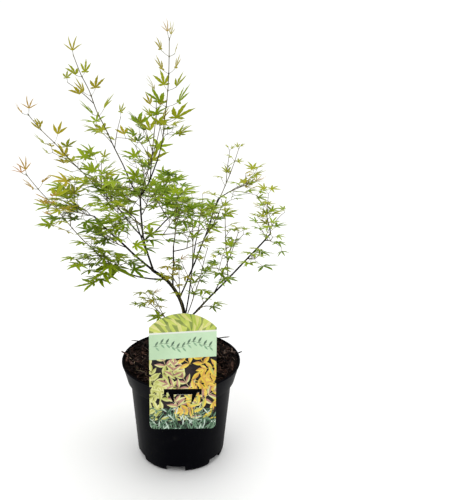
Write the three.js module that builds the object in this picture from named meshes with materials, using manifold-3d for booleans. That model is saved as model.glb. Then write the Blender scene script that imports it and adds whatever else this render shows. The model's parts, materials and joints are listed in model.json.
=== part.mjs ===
// A young Japanese maple in a round black nursery pot, with a plastic picture label hooked on the rim.
// Millimetres, +Z up. The origin is the middle of the pot's underside, on the ground. The label faces -Y.

import * as THREE from "three";
import { mergeVertices } from "three/addons/utils/BufferGeometryUtils.js";
import Module from "manifold-3d";

const wasm = await Module();
wasm.setup();

// Sizes of the pot
const POT_HEIGHT = 168;
const RIM_RADIUS = 95;
const LIP_THICKNESS = 3;
const COLLAR_TOP_RADIUS = 93.8;
const COLLAR_FOOT_RADIUS = 86.5;
const COLLAR_HEIGHT = 32;
const COLLAR_STEP = 1.5;
const LIP_STEP = 0.6;
const BODY_TOP_RADIUS = 81.5;
const BODY_FOOT_RADIUS = 71.4;
const FOOT_RADIUS = 67.5;
const FOOT_BEVEL = 9;
const FOOT_BEVEL_KNEE = 4.05;
const WALL = 1.6;
const FLOOR_LIFT = 11;
const FLOOR_THICKNESS = 2;
const FOOT_RING_WIDTH = 3.5;
const NOTCHES = 6;
const NOTCH_WIDTH = 31;
const NOTCH_BEARING = -97.3;
const CENTRE_FOOT_RADIUS = 13;
const DRAIN_RADIUS = 5;
const DRAIN_CIRCLE = 44;
const POT_SIDES = 32;
const CENTRE_FOOT_SIDES = 20;
const DRAIN_SIDES = 12;

// Sizes of the bark mulch that fills the pot
const SOIL_EDGE_DROP = 3.5;
const SOIL_DOME = 5.5;
const SOIL_LUMP = 1.6;
const SOIL_LUMP_BIAS = 0.6;
const SOIL_CLEARANCE = 0.5;
const SOIL_FLAT_RADIUS = 15;
const SOIL_SIDES = 24;
const SOIL_RINGS = 4;

// Sizes of the label
const LABEL_WIDTH = 100;
const LABEL_SIDE = 162;
const LABEL_DOME = 22;
const LABEL_THICKNESS = 0.8;
const LABEL_CORNER = 8;
const LABEL_LEAN = THREE.MathUtils.degToRad(8);
const LABEL_BELOW_RIM = 62;
const LABEL_OUT = 93.4;
const LABEL_ASIDE = 2.5;
const SLOT_WIDTH = 57;
const SLOT_HEIGHT = 6;
const SLOT_EAR = 4;
const TONGUE_TOP = 27.6;
const TONGUE_FOOT = 25;
const TONGUE_LENGTH = 16;
const TONGUE_ROOT = 1;
const SLIT_TOP = 8.7;
const SLIT_FOOT = 2.5;
const TONGUE_OUT = THREE.MathUtils.degToRad(14);

// The air between two pieces, the size of a sliver that is simplified away, and the small moves lengthways
// that a leaf tries before it is left off
const GAP = 0.38;
const SLIVER = 0.03;
const NUDGES = [0, 0.15, 0.3, -0.2];

// Sizes of the limbs and of the young wood: sides of a rod, length of its straight pieces, and how far its
// joints kink
const ROOT_FLARE = 2.6;
const LIMB_SIDES = 6;
const LIMB_STEP = 22;
const LIMB_KINK = 0.8;
const TRUNK_KINK = 0.3;
const TWIG_SIDES = 3;
const STEM_RADIUS = [1.2, 0.7];
const STEM_STEP = 30;
const STEM_KINK = 1.1;
const TWIG_RADIUS = [0.95, 0.6];
const TWIG_KINK = 0.5;

// How side twigs grow: up to where on the stem, the turn round it from one twig or try to the next, how flat
// they fan out, how far they lean along the stem and upwards, how long they get, and how far they arch
const TWIGS_END = 0.72;
const TWIG_TURN = 2.4;
const TWIG_RETRY_TURN = 1.1;
const TWIG_FANNING = 0.7;
const TWIG_FORWARD = 0.8;
const TWIG_RISE = 0.2;
const TWIG_STEM_SHARE = 0.6;
const TWIG_LONGEST = 64;
const TWIG_SHORTEST_SHARE = 0.6;
const TWIG_ARCH = 2;

// The space that the plant leaves free: between shoots, round limbs, above the mulch and round the label
const CELL_MARGIN = 2;
const LIMB_MARGIN = 2;
const FARTHEST_LEAF = 95;
const MULCH_ROOM = 6;
const LABEL_ROOM_FRONT = -70;
const LABEL_ROOM_HALF = 60;
const LABEL_ROOM_TOP = 300;

// How leaves grow: pairs turn a quarter round the stem each time, and the last one leans forwards. Young
// leaves are smaller, and rise where their shoot is a strong one that reaches high
const LEAF_TRIES = 6;
const LEAF_SPACING = 0.62;
const LAST_PAIR = 0.98;
const FIRST_TURN = 0.6;
const TURN_SPREAD = 0.6;
const RETRY_SPREAD = 0.5;
const LEAF_FORWARD = 0.4;
const LAST_FORWARD = 1.1;
const YOUNG_SHRINK = 0.5;
const YOUNG_RISE = 0.9;
const VIGOUR_FROM = 400;
const VIGOUR_OVER = 150;
const VIGOUR_RANGE = [0.3, 1.5];
const TWIG_PAIRS = 2;
const TWIG_LEAF_SHARE = 0.88;
const TWIG_LEAVES_FROM = 0.5;

// A leaf's stalk and middle lobe as shares of its size, each given as its least and what chance adds, how
// its blade hangs, leans and sways in radians, and the blade's own shape
const STALK_SHARE = [0.35, 0.4];
const LOBE_SHARE = [0.85, 0.3];
const STALK_RISE = 0.15;
const LEAF_LEVEL = 0.08;
const LEAF_DROOP = 0.4;
const LEAF_LEAN = 0.5;
const LEAF_SWAY = 0.8;
const STALK_RADIUS = 0.6;
const ROOT_RADIUS = 0.3;
const LEAF_THICKNESS = 1.3;
const BLADE_MIDDLE = 0.12;
const BLADE_HEART = 0.4;
const BLADE_CURVE = 0.16;
const LONG_LOBE = 0.5;

const SOIL_TOP = POT_HEIGHT - SOIL_EDGE_DROP + SOIL_DOME;
const UP = new THREE.Vector3(0, 0, 1);

// Solids and meshes
function solidOf(geometry) {
  const bare = geometry.clone();
  bare.deleteAttribute("normal");
  bare.deleteAttribute("uv");
  const merged = mergeVertices(bare, 1e-4);
  const triVerts = new Uint32Array(merged.index.array);
  const vertProperties = new Float32Array(merged.attributes.position.array);
  return new wasm.Manifold(new wasm.Mesh({ numProp: 3, vertProperties, triVerts }));
}

function geometryOf(solid) {
  const mesh = solid.getMesh();
  const geometry = new THREE.BufferGeometry();
  geometry.setAttribute("position", new THREE.BufferAttribute(mesh.vertProperties, mesh.numProp));
  geometry.setIndex(new THREE.BufferAttribute(mesh.triVerts, 1));
  geometry.computeVertexNormals();
  return geometry;
}

function largestBody(solid) {
  const bodies = solid.decompose();
  return bodies.reduce((best, body) => (body.volume() > best.volume() ? body : best), bodies[0]);
}

// No two corners so close that a file rounded to a thousandth of a millimetre would take them for one
function cornersApart(solid) {
  const { vertProperties, numProp } = solid.getMesh();
  const seen = new Set();
  for (let i = 0; i < vertProperties.length; i += numProp) {
    seen.add([0, 1, 2].map((k) => Math.round(vertProperties[i + k] * 1000)).join());
  }
  return seen.size === vertProperties.length / numProp;
}

// One clean body: slivers are simplified away and loose scraps dropped
function cleaned(solid) {
  return largestBody(solid.simplify(SLIVER));
}

// Pot: a thin moulded shell with a flared collar, a notched foot ring, and a lifted floor with a centre foot
// and drain holes
function potSolid() {
  const inner = (radius) => radius - WALL;
  const collarFoot = POT_HEIGHT - COLLAR_HEIGHT;
  const profile = [
    [0, FLOOR_LIFT],
    [FOOT_RADIUS - FOOT_RING_WIDTH, FLOOR_LIFT],
    [FOOT_RADIUS - FOOT_RING_WIDTH, 0],
    [FOOT_RADIUS, 0],
    [BODY_FOOT_RADIUS - 1, FOOT_BEVEL_KNEE],
    [BODY_FOOT_RADIUS, FOOT_BEVEL],
    [BODY_TOP_RADIUS, collarFoot - COLLAR_STEP],
    [COLLAR_FOOT_RADIUS, collarFoot],
    [COLLAR_TOP_RADIUS, POT_HEIGHT - LIP_THICKNESS],
    [RIM_RADIUS, POT_HEIGHT - LIP_THICKNESS + LIP_STEP],
    [RIM_RADIUS, POT_HEIGHT],
    [inner(COLLAR_TOP_RADIUS), POT_HEIGHT],
    [inner(COLLAR_FOOT_RADIUS), collarFoot + COLLAR_STEP],
    [inner(BODY_TOP_RADIUS), collarFoot],
    [inner(BODY_FOOT_RADIUS), FLOOR_LIFT + FLOOR_THICKNESS],
    [0, FLOOR_LIFT + FLOOR_THICKNESS],
  ].map(([r, z]) => new THREE.Vector2(r, z));
  const shell = new THREE.LatheGeometry(profile, POT_SIDES).rotateX(Math.PI / 2);
  let pot = solidOf(shell);
  const footHeight = FLOOR_LIFT + FLOOR_THICKNESS / 2;
  const [radius, sides] = [CENTRE_FOOT_RADIUS, CENTRE_FOOT_SIDES];
  const foot = new THREE.CylinderGeometry(radius, radius, footHeight, sides).rotateX(Math.PI / 2);
  pot = pot.add(solidOf(foot.translate(0, 0, footHeight / 2)));
  for (let i = 0; i < NOTCHES; i++) {
    const turn = (i / NOTCHES) * 2 * Math.PI + THREE.MathUtils.degToRad(NOTCH_BEARING);
    const notch = new THREE.BoxGeometry(FOOT_RING_WIDTH * 4, NOTCH_WIDTH, 2 * FLOOR_LIFT);
    notch.translate(FOOT_RADIUS, 0, -0.2);
    pot = pot.subtract(solidOf(notch.rotateZ(turn)));
    const drain = new THREE.CylinderGeometry(DRAIN_RADIUS, DRAIN_RADIUS, 3 * FLOOR_LIFT, DRAIN_SIDES);
    drain.rotateX(Math.PI / 2).translate(DRAIN_CIRCLE, 0, FLOOR_LIFT);
    pot = pot.subtract(solidOf(drain.rotateZ(turn)));
  }
  return cleaned(pot);
}

// A small seeded generator, so that the plant grows the same way every time
function seeded(seed) {
  let state = (seed * 7919 + 12345) >>> 0;
  return () => {
    state = (Math.imul(state, 1664525) + 1013904223) >>> 0;
    return state / 4294967296;
  };
}

// Mulch: a plug that fills the pot, with a domed, lumpy top that is flat where the trunk stands
function soilSolid() {
  const random = seeded(5);
  const collarFoot = POT_HEIGHT - COLLAR_HEIGHT;
  const clear = WALL + GAP + SOIL_CLEARANCE;
  const edgeShare = (COLLAR_HEIGHT - SOIL_EDGE_DROP) / COLLAR_HEIGHT;
  const edgeRadius = THREE.MathUtils.lerp(COLLAR_FOOT_RADIUS, COLLAR_TOP_RADIUS, edgeShare) - clear;
  const edge = new THREE.Vector2(edgeRadius, POT_HEIGHT - SOIL_EDGE_DROP);
  const profile = [
    new THREE.Vector2(0, FLOOR_LIFT + FLOOR_THICKNESS + GAP),
    new THREE.Vector2(BODY_FOOT_RADIUS - clear, FLOOR_LIFT + FLOOR_THICKNESS + GAP),
    new THREE.Vector2(BODY_TOP_RADIUS - clear, collarFoot + COLLAR_STEP - SOIL_CLEARANCE),
    new THREE.Vector2(COLLAR_FOOT_RADIUS - clear, collarFoot + 2 * COLLAR_STEP),
    edge,
  ];
  for (let i = 1; i <= SOIL_RINGS; i++) {
    const share = i / SOIL_RINGS;
    const r = edge.x + (SOIL_FLAT_RADIUS - edge.x) * share;
    profile.push(new THREE.Vector2(r, edge.y + SOIL_DOME * Math.sin((share * Math.PI) / 2)));
  }
  profile.push(new THREE.Vector2(0, SOIL_TOP));
  const plug = new THREE.LatheGeometry(profile, SOIL_SIDES).rotateX(Math.PI / 2);
  const geometry = mergeVertices(plug.deleteAttribute("normal").deleteAttribute("uv"), 1e-4);
  const place = geometry.attributes.position;
  for (let i = 0; i < place.count; i++) {
    const r = Math.hypot(place.getX(i), place.getY(i));
    const onTop = place.getZ(i) > edge.y + 0.01 && r > SOIL_FLAT_RADIUS + 1;
    if (onTop) place.setZ(i, place.getZ(i) + (random() - SOIL_LUMP_BIAS) * 2 * SOIL_LUMP);
  }
  return solidOf(geometry);
}

// Label: a domed card with a die-cut slot that hooks over the rim, and a tongue sprung out over the collar
function labelSolid() {
  const half = LABEL_WIDTH / 2;
  const domeRadius = (half * half + LABEL_DOME * LABEL_DOME) / (2 * LABEL_DOME);
  const domeAngle = Math.asin(half / domeRadius);
  const card = new THREE.Shape();
  card.moveTo(-half + LABEL_CORNER, 0);
  card.lineTo(half - LABEL_CORNER, 0);
  card.absarc(half - LABEL_CORNER, LABEL_CORNER, LABEL_CORNER, -Math.PI / 2, 0);
  card.lineTo(half, LABEL_SIDE);
  const domeCentre = LABEL_SIDE + LABEL_DOME - domeRadius;
  card.absarc(0, domeCentre, domeRadius, Math.PI / 2 - domeAngle, Math.PI / 2 + domeAngle);
  card.lineTo(-half, LABEL_CORNER);
  card.absarc(-half + LABEL_CORNER, LABEL_CORNER, LABEL_CORNER, Math.PI, 1.5 * Math.PI);
  const sheet = (shape, depth, curveSegments) =>
    new THREE.ExtrudeGeometry(shape, { depth, bevelEnabled: false, curveSegments });
  let label = solidOf(sheet(card, LABEL_THICKNESS, 8));

  const slotFoot = LABEL_BELOW_RIM - SLOT_HEIGHT / 2;
  const cutDepth = 8 * LABEL_THICKNESS;
  const cut = (width, height, x, y) =>
    solidOf(new THREE.BoxGeometry(width, height, cutDepth).translate(x, y, 0));
  label = label.subtract(cut(SLOT_WIDTH, SLOT_HEIGHT, 0, LABEL_BELOW_RIM));
  for (const side of [-1, 1]) {
    label = label.subtract(cut(SLOT_EAR, 2 * SLOT_EAR, side * (SLOT_WIDTH - SLOT_EAR) * 0.5, slotFoot));
  }
  const window = new THREE.Shape();
  window.moveTo(-TONGUE_FOOT / 2 - SLIT_FOOT, slotFoot - TONGUE_LENGTH);
  window.lineTo(TONGUE_FOOT / 2 + SLIT_FOOT, slotFoot - TONGUE_LENGTH);
  window.lineTo(TONGUE_TOP / 2 + SLIT_TOP, slotFoot + TONGUE_ROOT);
  window.lineTo(-TONGUE_TOP / 2 - SLIT_TOP, slotFoot + TONGUE_ROOT);
  label = label.subtract(solidOf(sheet(window, cutDepth, 1).translate(0, 0, -cutDepth / 2)));

  const tongue = new THREE.Shape();
  tongue.moveTo(-TONGUE_FOOT / 2, -TONGUE_ROOT);
  tongue.lineTo(TONGUE_FOOT / 2, -TONGUE_ROOT);
  tongue.lineTo(TONGUE_TOP / 2, TONGUE_LENGTH - TONGUE_ROOT);
  tongue.lineTo(-TONGUE_TOP / 2, TONGUE_LENGTH - TONGUE_ROOT);
  const flap = sheet(tongue, LABEL_THICKNESS, 1).rotateX(TONGUE_OUT);
  label = label.add(solidOf(flap.translate(0, slotFoot - TONGUE_LENGTH, 0)));

  // Stand the flat card up, face to -Y, lean its top back, and hang it at the rim
  const turn = new THREE.Matrix4().makeRotationX(Math.PI / 2 - LABEL_LEAN);
  const stand = new THREE.Matrix4().makeTranslation(0, -LABEL_BELOW_RIM, 0);
  const slotMiddle = POT_HEIGHT + GAP - SLOT_HEIGHT / 2;
  const hang = new THREE.Matrix4().makeTranslation(LABEL_ASIDE, -LABEL_OUT, slotMiddle);
  const place = hang.multiply(turn).multiply(stand);
  return cleaned(solidOf(geometryOf(label).applyMatrix4(place)));
}

// Where a limb or shoot ends: reach from the pot's axis, bearing in degrees from +X, and height
function spot(reach, bearing, height) {
  const angle = THREE.MathUtils.degToRad(bearing);
  return new THREE.Vector3(reach * Math.cos(angle), reach * Math.sin(angle), height);
}

// A bent path from foot to tip. Its middle lies belly below the straight line, square to it, and its joints
// have small seeded kinks
function pathOf(foot, tip, belly, steps, kink, random) {
  const chord = tip.clone().sub(foot).normalize();
  const lift = UP.clone().addScaledVector(chord, -chord.z);
  if (lift.length() > 0.02) lift.normalize();
  const middle = foot.clone().lerp(tip, 0.5).addScaledVector(lift, -2 * belly);
  const bend = new THREE.QuadraticBezierCurve3(foot, middle, tip);
  return bend.getPoints(steps).map((point, i) => {
    if (i === 0 || i === steps) return point;
    const [a, b, c] = [random() - 0.5, random() - 0.5, random() - 0.5];
    return point.add(new THREE.Vector3(a, b, c).multiplyScalar(2 * kink));
  });
}

function pointAlong(path, share) {
  const at = THREE.MathUtils.clamp(share, 0, 1) * (path.length - 1);
  const i = Math.min(Math.floor(at), path.length - 2);
  return path[i].clone().lerp(path[i + 1], at - i);
}

function directionAlong(path, share) {
  const at = THREE.MathUtils.clamp(share, 0, 1) * (path.length - 1);
  const i = Math.min(Math.floor(at), path.length - 2);
  return path[i + 1].clone().sub(path[i]).normalize();
}

function lengthOf(path) {
  return path.slice(1).reduce((sum, point, i) => sum + point.distanceTo(path[i]), 0);
}

// A closed tapering rod along a path. extra widens it and lengthens both ends, to cut room for it in a
// neighbour, and flare widens its foot
function rod(path, footRadius, tipRadius, sides, extra = 0, flare = 0) {
  const last = path.length - 1;
  const chord = path[last].clone().sub(path[0]).normalize();
  const across = new THREE.Vector3().crossVectors(chord, UP);
  if (across.length() < 0.05) across.set(0, 1, 0);
  across.normalize();
  const positions = [];
  path.forEach((point, i) => {
    const before = path[Math.max(i - 1, 0)];
    const after = path[Math.min(i + 1, last)];
    const along = after.clone().sub(before).normalize();
    const side = across.clone().addScaledVector(along, -across.dot(along)).normalize();
    const other = new THREE.Vector3().crossVectors(along, side);
    const centre = point.clone();
    if (i === 0) centre.addScaledVector(along, -extra);
    if (i === last) centre.addScaledVector(along, extra);
    const radius = footRadius + ((tipRadius - footRadius) * i) / last + (i === 0 ? flare : 0) + extra;
    for (let k = 0; k < sides; k++) {
      const turn = (k / sides) * 2 * Math.PI;
      const out = side.clone().multiplyScalar(Math.cos(turn)).addScaledVector(other, Math.sin(turn));
      positions.push(...centre.clone().addScaledVector(out, radius).toArray());
    }
  });
  const index = [];
  for (let i = 0; i < last; i++) {
    for (let k = 0; k < sides; k++) {
      const a = i * sides + k;
      const b = i * sides + ((k + 1) % sides);
      index.push(a, b, b + sides, a, b + sides, a + sides);
    }
  }
  for (let k = 1; k < sides - 1; k++) {
    index.push(0, k + 1, k);
    index.push(last * sides, last * sides + k, last * sides + k + 1);
  }
  return solidFrom(positions, index);
}

function solidFrom(positions, index) {
  const geometry = new THREE.BufferGeometry();
  geometry.setAttribute("position", new THREE.Float32BufferAttribute(positions, 3));
  geometry.setIndex(index);
  return solidOf(geometry);
}

// Limbs, in the order they grow: the limb each leaves and how far along it, where it ends (reach, bearing,
// height), how far its middle hangs, and its radius at foot and tip
const LIMBS = [
  ["trunk", null, 0, [5, 0, 236], -1, 5.4, 3.6],
  ["main_stem", "trunk", 0.93, [45, 180, 323], -15, 3.0, 2.4],
  ["leader_foot", "main_stem", 0.98, [61, 180, 442], 6, 1.9, 1.5],
  ["leader", "leader_foot", 0.99, [35, 179, 497], 2, 1.35, 1.1],
  ["upper_left_bough", "leader_foot", 0.97, [88, 170, 486], 2, 1.3, 1.05],
  ["left_bough", "main_stem", 0.97, [130, -167, 420], 2, 2.1, 1.3],
  ["mid_left_bough", "leader_foot", 0.45, [105, 163, 418], 1, 1.3, 1.1],
  ["low_left_bough", "main_stem", 0.78, [112, -158, 344], 4, 1.5, 1.15],
  ["centre_bough", "main_stem", 0.6, [51, -103, 382], 5, 1.6, 1.2],
  ["back_bough", "leader_foot", 0.42, [96, 94, 392], 4, 1.4, 1.1],
  ["back_left_bough", "leader_foot", 0.16, [116, 130, 376], 4, 1.3, 1.1],
  ["right_middle_bough", "main_stem", 0.4, [72, 38, 424], 3, 1.6, 1.15],
  ["right_bough", "trunk", 0.93, [138, -19, 400], 1, 1.9, 1.25],
  ["back_right_bough", "trunk", 0.97, [66, 70, 344], 3, 1.5, 1.1],
];

// Shoots, each with its own mass of leaves: the limb each leaves and how far along it, where its stem ends,
// how far its middle hangs, how far up the leaves begin, its leaf pairs, its side twigs, and a lobe's length
const SHOOTS = [
  ["leader_shoot", "leader", 1, [17, 180, 672], 6, 0.05, 8, 1, 36],
  ["crown_shoot", "leader_foot", 1, [32, 156, 552], 2, 0.2, 4, 3, 36],
  ["back_crown_shoot", "leader", 0.5, [71, 122, 584], 8, 0.2, 6, 1, 32],
  ["upper_left_shoot", "upper_left_bough", 1, [160, 166, 642], 2, 0.1, 6, 2, 33],
  ["mid_left_shoot", "mid_left_bough", 1, [252, 159, 544], 3, 0.1, 7, 2, 33],
  ["mid_left_inner_shoot", "mid_left_bough", 0.5, [128, 178, 456], 2, 0.3, 3, 3, 37],
  ["left_shoot", "left_bough", 1, [172, -163, 438], 0, 0.08, 4, 4, 41],
  ["left_inner_shoot", "left_bough", 0.45, [132, -158, 406], 3, 0.2, 4, 3, 37],
  ["low_left_shoot", "low_left_bough", 1, [226, -158, 500], 2, 0.45, 5, 2, 32],
  ["low_left_front_shoot", "low_left_bough", 0.86, [146, -152, 388], 2, 0.1, 5, 3, 43],
  ["centre_shoot", "centre_bough", 1, [110, -93, 462], 3, 0.3, 4, 2, 36],
  ["centre_low_shoot", "centre_bough", 0.9, [80, -62, 402], 3, 0.3, 4, 1, 25],
  ["centre_left_shoot", "leader_foot", 0.62, [134, -124, 458], 4, 0.42, 5, 3, 39],
  ["centre_inner_shoot", "leader_foot", 0.75, [80, -124, 470], 4, 0.3, 4, 3, 37],
  ["centre_right_shoot", "leader_foot", 0.52, [48, -6, 394], 4, 0.25, 4, 2, 35],
  ["back_shoot", "back_bough", 1, [146, 100, 390], 3, 0.1, 5, 4, 37],
  ["back_inner_shoot", "back_bough", 0.7, [96, 124, 456], 3, 0.2, 4, 3, 37],
  ["back_left_shoot", "back_left_bough", 1, [184, 127, 398], 4, 0.15, 5, 3, 38],
  ["right_middle_shoot", "right_middle_bough", 1, [142, 35, 440], -2, 0.1, 5, 2, 26],
  ["right_inner_shoot", "right_middle_bough", 0.62, [62, -8, 434], 3, 0.25, 4, 2, 34],
  ["right_upper_shoot", "right_middle_bough", 0.9, [158, 54, 484], 5, 0.2, 5, 1, 21],
  ["right_shoot", "right_bough", 1, [122, -8, 430], -3, 0.08, 5, 1, 24],
  ["right_tip_shoot", "right_bough", 0.93, [148, -28, 404], 3, 0.3, 3, 1, 24],
  ["right_low_shoot", "right_bough", 0.74, [136, -34, 380], 4, 0.55, 2, 1, 32],
  ["right_thin_shoot", "right_bough", 0.52, [66, 6, 424], 3, 0.15, 4, 1, 22],
  ["front_right_shoot", "right_bough", 0.36, [124, -50, 422], 3, 0.35, 3, 2, 25],
  ["back_right_shoot", "back_right_bough", 1, [126, 74, 400], 4, 0.2, 4, 3, 31],
  ["back_low_shoot", "back_right_bough", 0.7, [104, 80, 396], 4, 0.35, 4, 2, 29],
  ["low_right_shoot", "trunk", 0.97, [42, -18, 366], 2, 0.3, 5, 2, 26],
  ["low_front_shoot", "trunk", 0.86, [52, -94, 358], 8, 0.42, 4, 2, 24],
  ["low_left_foot_shoot", "trunk", 0.62, [64, -132, 304], 5, 0.4, 4, 1, 25],
  ["low_right_foot_shoot", "right_bough", 0.1, [60, -50, 296], 3, 0.55, 2, 1, 35],
];

const limbs = new Map();
LIMBS.forEach(([name, parent, at, end, belly, footRadius, tipRadius], i) => {
  const foot = parent ? pointAlong(limbs.get(parent).path, at) : new THREE.Vector3(0, 0, SOIL_TOP + GAP);
  const tip = spot(...end);
  const steps = Math.max(3, Math.round(foot.distanceTo(tip) / LIMB_STEP));
  const path = pathOf(foot, tip, belly, steps, parent ? LIMB_KINK : TRUNK_KINK, seeded(i + 11));
  if (!parent) path[1].set(path[0].x, path[0].y, path[1].z);
  limbs.set(name, { name, path, footRadius, tipRadius, flare: parent ? 0 : ROOT_FLARE });
});

// Each limb is cut clear of the limbs that grew before it
const limbSolids = new Map();
const roomForLimbs = [];
for (const limb of limbs.values()) {
  let solid = rod(limb.path, limb.footRadius, limb.tipRadius, LIMB_SIDES, 0, limb.flare);
  for (const room of roomForLimbs) solid = solid.subtract(room);
  limbSolids.set(limb.name, cleaned(solid));
  roomForLimbs.push(rod(limb.path, limb.footRadius, limb.tipRadius, LIMB_SIDES, GAP, limb.flare));
}

// Distance from a point to the nearest of some paths
function offPaths(point, paths) {
  let best = Infinity;
  const line = new THREE.Line3();
  const nearest = new THREE.Vector3();
  for (const path of paths) {
    for (let i = 1; i < path.length; i++) {
      line.set(path[i - 1], path[i]).closestPointToPoint(point, true, nearest);
      best = Math.min(best, nearest.distanceTo(point));
    }
  }
  return best;
}

const shoots = SHOOTS.map(([name, parent, at, end, belly, from, pairs, twigs, leafSize], i) => {
  const random = seeded(i + 101);
  const foot = pointAlong(limbs.get(parent).path, at);
  const tip = spot(...end);
  const steps = Math.max(3, Math.round(foot.distanceTo(tip) / STEM_STEP));
  const path = pathOf(foot, tip, belly, steps, STEM_KINK, random);
  const vigour = THREE.MathUtils.clamp((tip.z - VIGOUR_FROM) / VIGOUR_OVER, ...VIGOUR_RANGE);
  return { name, from, pairs, twigs, leafSize, vigour, random, paths: [path] };
});

function byLabel(point) {
  return point.y < LABEL_ROOM_FRONT && Math.abs(point.x) < LABEL_ROOM_HALF && point.z < LABEL_ROOM_TOP;
}

// A shoot keeps to its own space: each point of it is nearer to its own stem and twigs than to any other
// shoot's, and clear of the limbs, the mulch and the label
function keepsToSpace(points, shoot) {
  return points.every((point) => {
    const own = offPaths(point, shoot.paths);
    if (own > FARTHEST_LEAF || point.z < SOIL_TOP + MULCH_ROOM || byLabel(point)) return false;
    for (const other of shoots) {
      if (other !== shoot && offPaths(point, other.paths) < own + CELL_MARGIN) return false;
    }
    for (const limb of limbs.values()) {
      if (offPaths(point, [limb.path]) < limb.footRadius + LIMB_MARGIN) return false;
    }
    return true;
  });
}

// Directions square to a stem: one level, one upright
function squareTo(along) {
  const level = new THREE.Vector3().crossVectors(along, UP);
  if (level.length() < 0.2) level.set(1, 0, 0).addScaledVector(along, -along.x);
  level.normalize();
  return [level, new THREE.Vector3().crossVectors(level, along)];
}

// Side twigs leave a stem at its joints, turning round it
function growTwigs(shoot) {
  const stem = shoot.paths[0];
  for (let i = 0; i < shoot.twigs; i++) {
    const share = shoot.from + ((TWIGS_END - shoot.from) * (i + 0.5 * shoot.random())) / shoot.twigs;
    const along = directionAlong(stem, share);
    const foot = pointAlong(stem, share);
    const [level, upright] = squareTo(along);
    for (let attempt = 0; attempt < LEAF_TRIES; attempt++) {
      const turn = i * TWIG_TURN + attempt * TWIG_RETRY_TURN + shoot.random();
      const heading = level.clone().multiplyScalar(Math.cos(turn));
      heading.addScaledVector(upright, TWIG_FANNING * Math.sin(turn));
      heading.addScaledVector(along, TWIG_FORWARD).addScaledVector(UP, TWIG_RISE).normalize();
      const reach = TWIG_SHORTEST_SHARE + (1 - TWIG_SHORTEST_SHARE) * shoot.random();
      const length = Math.min(lengthOf(stem) * TWIG_STEM_SHARE, TWIG_LONGEST) * reach;
      const tip = foot.clone().addScaledVector(heading, length);
      const twig = pathOf(foot, tip, -TWIG_ARCH, 2, TWIG_KINK, shoot.random);
      if (!keepsToSpace([pointAlong(twig, 0.5), tip], shoot)) continue;
      shoot.paths.push(twig);
      break;
    }
  }
}

// A leaf stands on its stalk, its blade spread nearly level and drooping outwards, or raised where it is
// young. It is given by the point it grows from, the way it leaves the stem, and the lengths of its stalk
// and its middle lobe
function leafOf(root, outward, stalk, size, raised, random) {
  const droop = LEAF_DROOP * random() * random() - LEAF_LEVEL - raised;
  const lean = (random() - 0.5) * LEAF_LEAN;
  const sway = (random() - 0.5) * LEAF_SWAY;
  const base = root.clone().addScaledVector(outward, stalk).addScaledVector(UP, stalk * STALK_RISE);
  const flat = new THREE.Vector3(outward.x, outward.y, 0);
  if (flat.length() < 0.15) flat.set(Math.cos(sway * 9), Math.sin(sway * 9), 0);
  flat.normalize().applyAxisAngle(UP, sway);
  const along = flat.clone().multiplyScalar(Math.cos(droop)).addScaledVector(UP, -Math.sin(droop));
  const across = new THREE.Vector3().crossVectors(UP, flat).applyAxisAngle(along, lean);
  const face = new THREE.Vector3().crossVectors(along, across);
  const heart = base.clone().addScaledVector(along, size * BLADE_HEART);
  return { root, base, along, across, face, size, heart };
}

// The outline of the blade as angle from the middle lobe, in degrees, and share of its length
const BLADE = [
  [-100, 0.6],
  [-72, 0.24],
  [-48, 0.92],
  [-23, 0.3],
  [0, 1],
  [23, 0.3],
  [48, 0.92],
  [72, 0.24],
  [100, 0.6],
];

function bladePoint(leaf, angle, share) {
  const turn = THREE.MathUtils.degToRad(angle);
  const r = leaf.size * share;
  const point = leaf.base.clone().addScaledVector(leaf.along, r * Math.cos(turn));
  point.addScaledVector(leaf.across, r * Math.sin(turn));
  return point.addScaledVector(leaf.face, -BLADE_CURVE * r * share);
}

// The blade and its three-sided stalk, which runs back into the stem, in one closed skin
function leafSolid(leaf) {
  const { root, base, along, across, face, size } = leaf;
  const ring = (centre, radius) => [
    centre.clone().addScaledVector(across, radius),
    centre.clone().addScaledVector(across, -radius),
    centre.clone().addScaledVector(face, 1.2 * radius),
  ];
  const rim = BLADE.map(([angle, share]) => bladePoint(leaf, angle, share));
  const middle = base.clone().addScaledVector(along, size * BLADE_MIDDLE);
  const top = middle.clone().addScaledVector(face, LEAF_THICKNESS / 2);
  const under = middle.clone().addScaledVector(face, -LEAF_THICKNESS / 2);
  const corners = [...rim, ...ring(base, STALK_RADIUS), ...ring(root, ROOT_RADIUS), top, under];
  const last = rim.length - 1;
  const [left, right, crest, leftRoot, rightRoot, crestRoot, above, below] = [9, 10, 11, 12, 13, 14, 15, 16];
  const index = [above, right, 0, below, 0, right, above, last, left, below, left, last];
  for (let i = 0; i < last; i++) index.push(above, i, i + 1, below, i + 1, i);
  index.push(above, left, crest, above, crest, right, below, right, left);
  index.push(left, right, rightRoot, left, rightRoot, leftRoot);
  index.push(right, crest, crestRoot, right, crestRoot, rightRoot);
  index.push(crest, left, leftRoot, crest, leftRoot, crestRoot);
  index.push(leftRoot, rightRoot, crestRoot);
  return solidFrom(corners.flatMap((corner) => corner.toArray()), index);
}

const grown = [];

// Leaves keep apart from each other, more so sideways than up and down
function standsApart(leaf) {
  return grown.every((other) => {
    const away = leaf.heart.clone().sub(other.heart);
    return Math.hypot(away.x, away.y, 2 * away.z) > LEAF_SPACING * (leaf.size + other.size);
  });
}

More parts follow.
